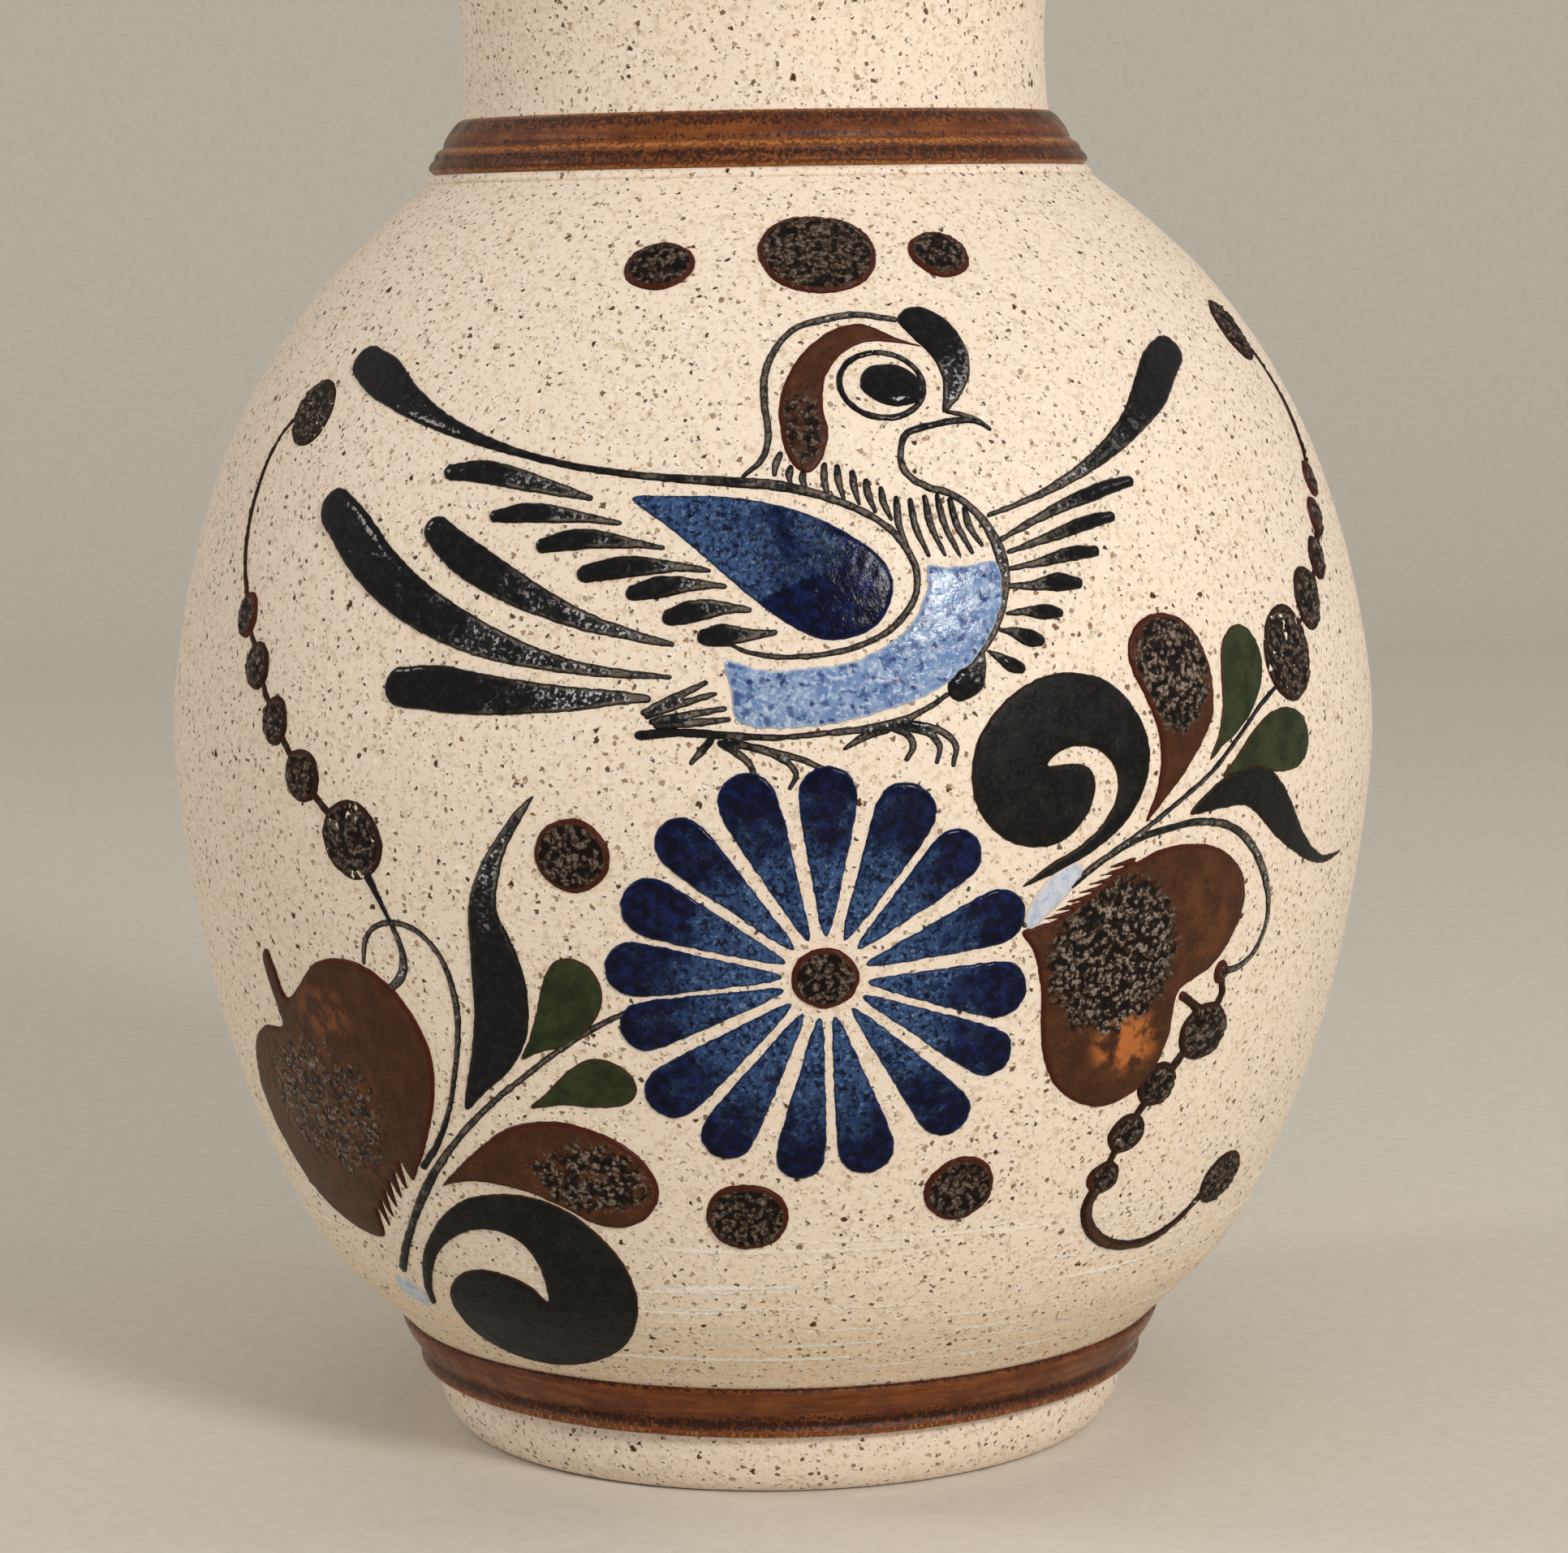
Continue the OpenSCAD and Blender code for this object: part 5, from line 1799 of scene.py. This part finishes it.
@dataclass
class Daisy(Motif):
    """A ring of blue petals round a brown centre."""

    name: str = "daisy"
    centre: Point = (4.2, 63.2)
    sway: tuple[float, ...] = (1, 3, 2, 5, 7, 5, 5, 9, 7, 8, 7, 7, 3, 1, 0, 0)
    reach: tuple[float, ...] = (22, 22, 21, 22, 22, 23, 24, 24, 24, 24, 24, 22.5, 23, 22.5, 23, 23)
    root: float = 5.2
    tip_width: float = 5.8
    root_width: float = 0.9
    centre_size: Point = (3.5, 3.3)

    def build(self) -> None:
        """Paints the petals and the centre."""
        petals = self.coat(thickness=0.3, seed=31, round_edge=0.6, dry_tail=0.5, ragged=0.07)
        middle = self.form.unroll(np.array([self.centre]))[0]
        scale = self.form.scale_at(middle[None, :])[0]
        for number, (sway, reach) in enumerate(zip(self.sway, self.reach, strict=True)):
            turn = math.radians(360 / len(self.sway) * number + sway)
            way = np.array([math.sin(turn), math.cos(turn)]) / scale
            across = np.array([way[1], -way[0]])
            width = self.tip_width * (1 + 0.08 * math.sin(2.1 * number))
            sides = [
                (self.root, self.root_width),
                (self.root + 0.35 * (reach - self.root), 0.57 * width),
                (self.root + 0.68 * (reach - self.root), 0.93 * width),
                (reach - 0.42 * width, width),
                (reach - 0.12 * width, 0.66 * width),
            ]
            right = [middle + way * d + across * w / 2 for d, w in sides]
            left = [middle + way * d - across * w / 2 for d, w in reversed(sides)]
            shape = np.array([*right, middle + way * reach, *left])
            petals.outlines.append(smooth_closed(shape, 8))
            run = np.linspace(reach, self.root, 24)[:, None]
            petals.tracks.append(np.column_stack([middle + way * run, np.linspace(0, 1, 24)]))
        self.lay(petals, f"{self.name}_petals", Slot.NAVY, self.petal_node())
        heart = self.coat(thickness=0.34, seed=32, grit=0.07)
        heart.dot(self.centre, *self.centre_size)
        heart.tint("grain", self.centre, 6, 6)
        self.lay(heart, f"{self.name}_heart", Slot.BROWN, f"{self.name}_centre")

    def petal_node(self) -> str:
        """The frame's node for the petals."""
        return "daisy_petals" if self.name == "daisy" else self.name


@dataclass
class FieldDots(Motif):
    """Free-standing dots: three below the neck band and three round the daisy."""

    top: Rows = (
        (-12.8, 136.3, 3.8, 3.4, 12), (7, 137.5, 6.2, 5.7, 0), (22.8, 137, 3.4, 3.4, -12),
    )
    low: Rows = (
        (-17.5, 76.2, 4.1, 3.9, 0), (-3.2, 36.6, 4.3, 4.1, 0), (17.9, 38.8, 3.9, 3.9, 0),
    )

    def build(self) -> None:
        """Paints the dots."""
        for name, dots in (("top_dots", self.top), ("field_spots", self.low)):
            coat = self.coat(thickness=0.34, seed=41, grit=0.07)
            for angle, height, wide, high, turn in dots:
                coat.bead((angle, height), wide, high, turn, crust=1.0)
            self.lay(coat, name, Slot.BROWN)


@dataclass
class Spray(Motif):
    """A spray of one toothed tulip with its leaves, scroll, stems and string of beads."""

    def build(self) -> None:
        """Paints the spray, from its flower to its beads."""
        for part in (self.flower, self.leaves, self.scroll, self.stems, self.string):
            part()


@dataclass
class LeftSpray(Spray):
    """The spray at the lower left: tulip, leaves, scroll, stems and a string of beads."""

    beads: Rows = (
        (-40.2, 76.4, 4.4, 4.3), (-46.3, 82.8, 2.9, 2.9), (-50.5, 88.3, 2.4, 2.7), (-54.2, 93.9, 2.4, 2.7),
        (-57.3, 99.1, 2.2, 2.6), (-55.4, 120.9, 3.9, 4.0),
    )

    def flower(self) -> None:
        """The brown tulip with its spur and toothed edge."""
        tulip = self.coat(thickness=0.26, seed=51, grit=0.04)
        teeth = []
        for k in range(6):
            a, z = -47.6 + 1.35 * k, 31.6 + 1.32 * k
            teeth += [(a - 0.75, z + 1.9), (a + 0.2, z - 0.1)]
        tulip.patch((*reversed(teeth), (-49.4, 30), (-53, 29.8), (-57.4, 31), (-61.4, 33.2), (-64.8, 37.4),
            (-66.6, 42.4), (-66, 46.4), (-63.6, 50.6), (-60, 53), (-56, 53.6), (-55.9, 56), (-56.8, 60),
            (-56.6, 62), (-55.6, 62.3), (-54.9, 60.6), (-54.2, 58), (-53.2, 57.3), (-51, 59), (-48, 61.8),
            (-44.4, 63), (-40.8, 62.6), (-37.4, 60.4), (-35, 56.8), (-34, 52.4), (-35, 47.4),
            (-37.4, 42.4), (-39.2, 39.8)))
        tulip.tint("grain", (-52, 45), 13, 9, 0.5)
        # painted highlight: the next two ovals brighten the tulip orange
        tulip.tint("painted_highlight", (-47.5, 56.5), 4.5, 3, 0.35)
        tulip.tint("painted_highlight", (-52, 45), 11, 8, 0.25)
        self.lay(tulip, "left_tulip", Slot.BROWN)

    def leaves(self) -> None:
        """Brown, green and dark leaves."""
        brown = self.coat(thickness=0.3, seed=52, grit=0.06)
        brown.patch(((-36.6, 38), (-33.4, 40.8), (-30, 43.6), (-26.4, 46), (-22, 47), (-17.6, 46.2),
            (-14, 44), (-12.1, 41), (-12.1, 38.2), (-14, 35.8), (-16.8, 34.9), (-19.6, 35.5),
            (-22.6, 37.2), (-26.6, 38.6), (-31, 39.1), (-34.6, 38.6)))
        brown.tint("grain", (-18.6, 40.6), 7.4, 4.6, 0.6)
        # painted highlight: a faint orange oval on the leaf
        brown.tint("painted_highlight", (-18.6, 40.6), 7, 4.4, 0.15)
        self.lay(brown, "left_brown_leaf", Slot.BROWN)

        green = self.coat(thickness=0.2, seed=53)
        green.patch(((-24, 53.9), (-23, 56.2), (-22, 59.2), (-21.2, 62.2), (-20, 64.6), (-18.2, 65.3),
            (-16.4, 64.2), (-15.6, 62), (-15.9, 59.6), (-17.4, 57.3), (-19.6, 55.6), (-22, 54.8)))
        green.patch(((-23.8, 48.4), (-21.8, 50.4), (-19.6, 52.8), (-17.2, 54.3), (-15, 54), (-13.4, 52.6),
            (-13, 50.8), (-14.2, 49.3), (-17, 48.8), (-20.4, 48.9)))
        self.lay(green, "left_green_leaves", Slot.GREEN)

        dark = self.coat(thickness=0.34, seed=54, round_edge=0.9, dry_tail=0.3)
        dark.patch(((-20.7, 82.4), (-22.4, 80.9), (-24.6, 77.6), (-26.6, 74), (-27.8, 70), (-28.1, 65),
            (-28.4, 59), (-29.4, 54), (-31.2, 47.6), (-28.2, 50), (-25.4, 52.6), (-23.4, 56), (-22.7, 60),
            (-23, 64), (-24, 67.4), (-24.9, 70), (-24.6, 73), (-23.6, 76.6), (-22, 79.8)),
            track=((-26, 58), (-25.6, 64), (-26.4, 70), (-24.6, 76), (-21, 82)))
        self.lay(dark, "left_dark_leaf", Slot.BLACK)

    def scroll(self) -> None:
        """The rolled charcoal leaf."""
        coat = self.coat(thickness=0.26, seed=55, round_edge=0.7)
        coat.patch(((-47.4, 21.9), (-46, 25), (-43.6, 28.6), (-40.4, 32), (-36.6, 35.2), (-32.4, 37.3),
            (-27, 38), (-22.4, 36.8), (-18.8, 33.8), (-16.4, 29.6), (-16.1, 25.2), (-18, 21.2),
            (-21.6, 18.3), (-27, 16.3), (-33, 15.4), (-38.6, 15.8), (-42.2, 17.4), (-43.4, 20.2),
            (-42.4, 23.6), (-39.6, 26.4), (-35.6, 28), (-31.6, 27.8), (-28.8, 26.6), (-27.4, 24.9),
            (-26.9, 26.8), (-26.9, 29.2), (-28, 31.8), (-30.6, 33.2), (-34.4, 32.9), (-38.6, 30.9),
            (-42, 28), (-44.9, 24.4), (-46.2, 22.2)))
        self.lay(coat, "left_scroll", Slot.CHARCOAL)

    def stems(self) -> None:
        """Stems and the dab at their foot."""
        coat = self.coat(thickness=0.24, seed=56)
        coat.stroke(((-49, 26), (-46.6, 28.6), (-43.6, 32), (-40, 36.2), (-37, 39.6), (-33, 43.8),
            (-28.6, 48), (-24, 51.9), (-20, 55.2), (-16, 58.1), (-12.6, 59.9)), (1.2, 1.15, 1.0, 1.2, 1.0,
            0.8, 0.75, 0.7, 0.7, 0.7, 0.6), start=0.2)
        coat.stroke(((-38.4, 40), (-35.4, 43.4), (-33, 47.6), (-31.4, 52.4), (-30.4, 57), (-30.4, 61),
            (-31.4, 64.6), (-33.4, 67), (-36, 67.8), (-38.4, 67.2), (-40, 65.4), (-40.6, 63)), (0.9, 0.85,
            0.7, 0.65, 0.7, 0.75, 0.9, 0.7, 0.65, 0.7, 0.65, 0.6), start=0.25)
        coat.stroke(((-38.6, 72.6), (-37.4, 69.8), (-36.3, 67.2), (-35.6, 64.6), (-36, 62.2),
            (-37.6, 60.4)), (1.2, 0.8, 0.7, 0.9, 1.2, 1.0), start=0.15)
        self.lay(coat, "left_stems", Slot.BLACK)
        dab = self.coat(thickness=0.16, seed=57)
        dab.dot((-49.8, 23), 2.8, 2.1, -35)
        self.lay(dab, "left_dab", Slot.PALE, "left_pale_dab")

    def string(self) -> None:
        """The string of beads that climbs the left side."""
        coat = self.coat(thickness=0.4, seed=58, grit=0.07, round_edge=0.8)
        for angle, height, wide, high in self.beads:
            coat.bead((angle, height), wide, high)
        coat.stroke(((-58.3, 101.4), (-60, 104.6), (-61.2, 108.4), (-61.6, 112.4), (-61.3, 116),
            (-60.2, 118.8), (-58.4, 120.4)), (0.7, 0.6, 0.6, 0.7, 0.6, 0.6, 0.7))
        coat.stroke(((-56.2, 97.2), (-54.8, 95.4), (-52.4, 91.2), (-48.6, 85.8), (-45.4, 81.6),
            (-42.6, 78.8)), (0.8, 0.8, 0.8, 0.9, 0.9, 1.1))
        self.lay(coat, "left_beads", Slot.BROWN)


@dataclass
class RightSpray(Spray):
    """The spray on the right: scroll, leaves, tulip, stems, beads and the hooked tail."""

    beads: Rows = (
        (54.3, 93.4, 4.8, 5.3), (60.2, 98.8, 3.1, 3.6), (64.7, 102.7, 2.2, 2.5), (67.8, 107, 2.0, 2.4),
        (70.4, 111.1, 2.0, 2.2), (69, 127.8, 3.7, 4.1), (44, 53.3, 3.8, 3.3), (38.9, 48, 2.8, 2.6),
        (36.2, 42.8, 2.5, 2.4), (34.5, 38, 2.2, 2.0), (55.2, 34.2, 4.1, 3.3), (45.2, 59.7, 1.2, 1.3),
    )

    def flower(self) -> None:
        """The brown tulip with its toothed upper edge."""
        tulip = self.coat(thickness=0.28, seed=61, grit=0.06)
        teeth = []
        for k in range(8):
            a, z = 23.7 + 1.05 * k, 67.4 + 0.82 * k
            teeth += [(a - 0.9, z), (a + 1.7, z + 0.75)]
        tulip.patch((*reversed(teeth), (21.8, 66.9), (23, 64.8), (23.9, 61.4), (24.3, 57.4), (24.8, 53.6),
            (26.2, 50.2), (28.6, 47.8), (31.6, 46.6), (34.4, 46.9), (36.6, 48.2), (38.4, 50.8),
            (39.2, 53.6), (39.3, 56.2), (39.6, 58.4), (41.2, 59.4), (43.6, 60.6), (45.8, 63.2),
            (47.1, 66.4), (46.9, 69.4), (45.2, 72), (42.2, 73.9), (38.8, 74.6), (35.6, 74.4), (33, 73.4)))
        tulip.tint("grain", (31.4, 63.6), 8.2, 8.6)
        # painted highlight: the next three ovals brighten the tulip orange
        tulip.tint("painted_highlight", (33.8, 53.6), 4.2, 3.4, 1.0)
        tulip.tint("painted_highlight", (42, 66), 5, 6, 0.1)
        tulip.tint("painted_highlight", (31.4, 63.6), 7, 7, 0.25)
        self.lay(tulip, "right_tulip", Slot.BROWN)

    def leaves(self) -> None:
        """Brown, green and dark grey leaves."""
        brown = self.coat(thickness=0.3, seed=62, grit=0.06)
        brown.patch(((33.8, 77.6), (34.8, 80.6), (35.4, 84), (35.2, 87.2), (34.2, 90.6), (33, 93.6),
            (33, 96.4), (34.6, 98.6), (37.2, 99.2), (39.8, 98.1), (41.6, 95.4), (42.3, 92), (42, 88.6),
            (40.8, 86), (38.8, 83.2), (36.4, 80.4)))
        brown.tint("grain", (37.6, 93.4), 5, 6.4)
        # painted highlight: a faint orange oval on the leaf
        brown.tint("painted_highlight", (37.6, 93.4), 5, 6, 0.15)
        self.lay(brown, "right_brown_leaf", Slot.BROWN)

        green = self.coat(thickness=0.2, seed=63)
        green.patch(((41.2, 83.3), (42.4, 85.8), (43.3, 88.8), (43.6, 92.2), (44.2, 95.2), (45.8, 96.9),
            (47.6, 97), (49.2, 95.4), (49.7, 93), (49, 90.4), (47.4, 88), (45.2, 86), (43, 84.6)))
        green.patch(((42.8, 81.4), (44.8, 83.4), (47, 85.6), (49.6, 87.2), (52.6, 87.7), (55.2, 86.7),
            (56.4, 84.4), (55.8, 82), (53.8, 80.8), (50.6, 80.9), (47.4, 81.8), (45, 81.6)))
        self.lay(green, "right_green_leaves", Slot.GREEN)

        dark = self.coat(thickness=0.24, seed=64)
        dark.patch(((38.9, 77.8), (41, 80), (43.6, 81.4), (46.8, 82), (49.8, 81.2), (52, 79.2),
            (53.9, 76.6), (56, 73.8), (58.8, 71.4), (62, 70), (66.8, 69.8), (62.6, 69.1), (58.6, 69.8),
            (54.6, 71.6), (51, 73.9), (48.4, 76.2), (46, 77.8), (42.6, 77.9)))
        self.lay(dark, "right_dark_leaf", Slot.CHARCOAL)

    def scroll(self) -> None:
        """The rolled charcoal leaf."""
        coat = self.coat(thickness=0.28, seed=65, round_edge=0.7)
        coat.patch(((21.6, 71.9), (25, 73.2), (28.6, 75.2), (31.6, 77.8), (33.6, 81.4), (34.2, 85.4),
            (33, 89.4), (30.6, 92.4), (27.2, 93.8), (23.4, 93.4), (20, 91.2), (17.6, 87.8), (16.8, 83.8),
            (17.4, 80.2), (19.4, 77.4), (22.2, 76), (25.2, 76.4), (27.4, 78.6), (28.4, 81.6), (27.9, 83.8),
            (26, 84.5), (23.8, 84.4), (24.8, 85.6), (26.6, 86.2), (28.8, 85.6), (30.4, 83.6), (30.6, 80.8),
            (29.4, 78.2), (27.2, 75.9), (24.4, 74.2)))
        self.lay(coat, "right_scroll", Slot.CHARCOAL)

    def stems(self) -> None:
        """Stems, the arch over the tulip and the pale dab where they meet."""
        coat = self.coat(thickness=0.24, seed=66)
        coat.stroke(((51.2, 89.9), (48.2, 88), (45, 85.2), (41.4, 82), (37.6, 79.4), (33.6, 76.7),
            (30, 74.4), (27, 72.2), (24.4, 69.9), (22, 67.8)), (0.6, 0.65, 0.6, 0.6, 0.65, 0.6, 0.7, 0.8,
            0.9, 0.7), start=0.3)
        coat.stroke(((26.4, 71.6), (29.4, 73.9), (33, 75.8), (36.6, 76.6), (40.4, 76.8), (44, 75.9),
            (47.2, 73.6), (49.6, 70.4), (51.2, 66.8), (51.3, 63.4), (49.8, 60.9), (47.6, 59.8),
            (45.6, 59.7)), (0.7, 0.7, 0.75, 0.8, 0.85, 0.9, 0.95, 1.1, 1.2, 1.0, 0.8, 0.8, 0.9),
            start=0.15)
        self.lay(coat, "right_stems", Slot.BLACK)
        dab = self.coat(thickness=0.16, seed=67)
        dab.patch(((21.9, 68.4), (22.8, 70.8), (24.6, 73), (26.6, 74), (27.4, 72.8), (26, 70.6),
            (24, 68.4), (22.6, 67.2)))
        self.lay(dab, "right_dab", Slot.PALE, "right_pale_dab")

    def string(self) -> None:
        """The beads above and below the spray, and the hooked tail."""
        coat = self.coat(thickness=0.4, seed=68, grit=0.07, round_edge=0.8)
        for angle, height, wide, high in self.beads:
            coat.bead((angle, height), wide, high)
        for points, widths in (
            (((71, 112.4), (72.4, 114.8), (73.4, 118), (73.6, 121.4), (72.6, 124.4), (71, 126.4)),
                (0.7, 0.6, 0.6, 0.7)),
            (((67, 105.8), (64.6, 102.6), (61, 99.4), (57.2, 96.2)), (0.8, 0.8, 0.9, 1.0)),
            (((45.4, 59), (45.8, 57), (44.4, 54.6), (41.4, 50.8), (38.4, 47), (36, 43), (34.8, 39.4)),
                (1.0, 1.1, 1.2, 1.1, 1.0)),
            (((40.2, 57.8), (41.6, 56.8), (43, 55.6)), (1.0, 1.1, 1.4)),
            (((34, 37), (33.4, 34.4), (34.8, 31.8), (37.6, 29.8), (41, 28.8), (44.6, 28.7), (48, 29.7),
                (50.6, 31.4), (53, 33.6)), (1.6, 1.5, 1.5, 1.4, 1.3, 1.3, 1.2, 1.1, 1.6)),
        ):
            coat.stroke(points, widths)
        self.lay(coat, "right_beads", Slot.BROWN)


@dataclass
class BackSprig(Motif):
    """The plainer sprig on the back: a small daisy on a stem with two pairs of leaves."""

    axis: float = 180.0

    def both_sides(self, points: Points) -> tuple[Points, Points]:
        """Points beside the stem on its left, and their mirror image on its right."""
        return tuple(tuple((self.axis + way * a, z) for a, z in points) for way in (-1, 1))

    def build(self) -> None:
        """Paints the sprig."""
        Daisy(
            self.form, self.palette, name="back_daisy", centre=(self.axis, 92), reach=(17,) * 10,
            sway=(0, 2, -1, 1, 2, 0, -2, 1, 0, 2), root=5.0, root_width=1.0, centre_size=(3.4, 3.4),
        ).build()
        green = self.coat(thickness=0.2, seed=71)
        for side in self.both_sides(
            ((2.6, 49.4), (5, 54.4), (9, 58.4), (14, 59.8), (17.2, 57.8), (16.4, 53.2), (11, 50.4))
        ):
            green.patch(side)
        self.lay(green, "back_green_leaves", Slot.GREEN)
        brown = self.coat(thickness=0.3, seed=72, grit=0.06)
        for side in self.both_sides(
            ((2.6, 36.4), (6, 41.4), (11, 45.2), (17, 46.8), (22.6, 44.8), (23, 39.8), (18, 36.8), (10, 36))
        ):
            brown.patch(side)
            brown.tint("grain", ((side[3][0] + side[6][0]) / 2, 41.6), 6.4, 4.4)
        self.lay(brown, "back_brown_leaves", Slot.BROWN)
        stem = self.coat(thickness=0.24, seed=73)
        stem.stroke(((180.4, 74), (179.4, 64), (180.6, 52), (180, 40), (180.6, 29)), (0.7, 0.8, 1.0, 0.9,
            0.6))
        self.lay(stem, "back_stem", Slot.BLACK)
        beads = self.coat(thickness=0.4, seed=74, grit=0.07, round_edge=0.8)
        for side in self.both_sides(((30, 76), (36, 84), (40, 91), (42, 98), (15, 128))):
            for place, size in zip(side, (4.0, 2.9, 2.5, 2.3, 2.9), strict=True):
                beads.bead(place, size, size)
        self.lay(beads, "back_beads", Slot.BROWN)


# fmt: on
# ---------- studio ----------


@dataclass(frozen=True)
class Lamp:
    """A soft round lamp aimed at the belly: degrees round from the front, positive to the viewer's
    right, degrees above the horizontal, metres away, metres wide, watts and sRGB colour.
    """

    name: str
    azimuth: float
    rise: float
    distance: float
    size: float
    power: float
    colour: str


@dataclass
class Studio:
    """Camera, lights and a plain pale sweep to stand the vase on."""

    camera_place: tuple[float, float, float] = (0.0, -522.2, 141.4)
    look_down: float = 7.17
    look_right: float = 0.13
    roll: float = -0.98
    lens: float = 102.5
    lamps: tuple[Lamp, ...] = (
        Lamp("key", 30, 26, 1.1, 0.22, 5.7, "#FFFBF5"),
        Lamp("edge", 82, 28, 1.3, 0.3, 1.1, "#FFF7EC"),
        Lamp("side", -85, 30, 1.3, 0.25, 2.6, "#FFF7EC"),
    )
    aim_height: float = 0.085
    sky: str = "#FFFCF7"
    sky_power: float = 0.5
    # The sweep, in metres: half its width, where it starts in front, where and how it curves up
    half_width: float = 2.2
    front: float = -1.6
    curve_start: float = 0.9
    curve_radius: float = 0.5
    top: float = 2.4

    def camera(self) -> None:
        """Places the camera close in front of the vase and a little above its middle."""
        pitch, yaw, roll = (math.radians(v) for v in (self.look_down, self.look_right, self.roll))
        flat = math.cos(pitch)
        forward = Vector((math.sin(yaw) * flat, math.cos(yaw) * flat, -math.sin(pitch)))
        level = Vector((math.cos(yaw), -math.sin(yaw), 0))
        upright = level.cross(forward)
        right = level * math.cos(roll) + upright * math.sin(roll)
        up = upright * math.cos(roll) - level * math.sin(roll)
        data = bpy.data.cameras.new("camera")
        data.lens = self.lens
        data.sensor_width = 36.0
        data.clip_start = 0.01
        camera = bpy.data.objects.new("camera", data)
        turn = Matrix((right, up, -forward)).transposed().to_4x4()
        camera.matrix_world = Matrix.Translation(Vector(self.camera_place) * MM) @ turn
        bpy.context.scene.collection.objects.link(camera)
        bpy.context.scene.camera = camera

    def add_lamp(self, lamp: Lamp) -> None:
        """Adds a lamp.

        Args:
            lamp: Its place, size and light.
        """
        data = bpy.data.lights.new(lamp.name, "AREA")
        data.shape = "DISK"
        data.size = lamp.size
        data.energy = lamp.power
        data.color = linear(lamp.colour)[:3]
        a, e = math.radians(lamp.azimuth), math.radians(lamp.rise)
        way = Vector((math.sin(a) * math.cos(e), -math.cos(a) * math.cos(e), math.sin(e)))
        light = bpy.data.objects.new(lamp.name, data)
        light.location = Vector((0, 0, self.aim_height)) + way * lamp.distance
        light.rotation_euler = (-way).to_track_quat("-Z", "Y").to_euler()
        bpy.context.scene.collection.objects.link(light)

    def lights(self) -> None:
        """One soft key from the right, a weaker lamp far out on each side and an even sky."""
        for lamp in self.lamps:
            self.add_lamp(lamp)
        world = bpy.data.worlds.new("studio")
        world.use_nodes = True
        sky = world.node_tree.nodes["Background"].inputs
        sky["Color"].default_value = linear(self.sky)
        sky["Strength"].default_value = self.sky_power
        bpy.context.scene.world = world
        bpy.context.scene.view_settings.view_transform = "Standard"

    def sweep(self) -> None:
        """The paper sweep: a flat floor that curves up behind the vase."""
        r, line = self.curve_radius, [(self.front, 0.0), (self.curve_start, 0.0)]
        for t in (math.radians(step) for step in range(6, 91, 6)):
            line.append((self.curve_start + r * math.sin(t), r - r * math.cos(t)))
        line.append((self.curve_start + r, self.top))
        corners = [(x, y, z) for y, z in line for x in (-self.half_width, self.half_width)]
        faces = [(2 * k, 2 * k + 1, 2 * k + 3, 2 * k + 2) for k in range(len(line) - 1)]
        mesh = bpy.data.meshes.new("paper_sweep")
        mesh.from_pydata(corners, [], faces)
        mesh.shade_smooth()
        mesh.materials.append(SizedPaper().make())
        paper = bpy.data.objects.new("paper_sweep", mesh)
        bpy.context.scene.collection.objects.link(paper)

    def build(self) -> None:
        """Sets up the studio."""
        self.camera()
        self.lights()
        self.sweep()


def main() -> None:
    """Loads the frame, dresses it and reports each piece."""
    logging.basicConfig(level=logging.INFO, format="%(name)s %(message)s")
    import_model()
    Studio().build()
    form = ThrownForm()
    palette = Palette()
    ClayPieces(form, palette).build()
    for motif in (FieldDots, Bird, Daisy, LeftSpray, RightSpray, BackSprig):
        motif(form, palette).build()
        log.info("%s painted", motif.__name__)


if __name__ == "__main__":
    main()
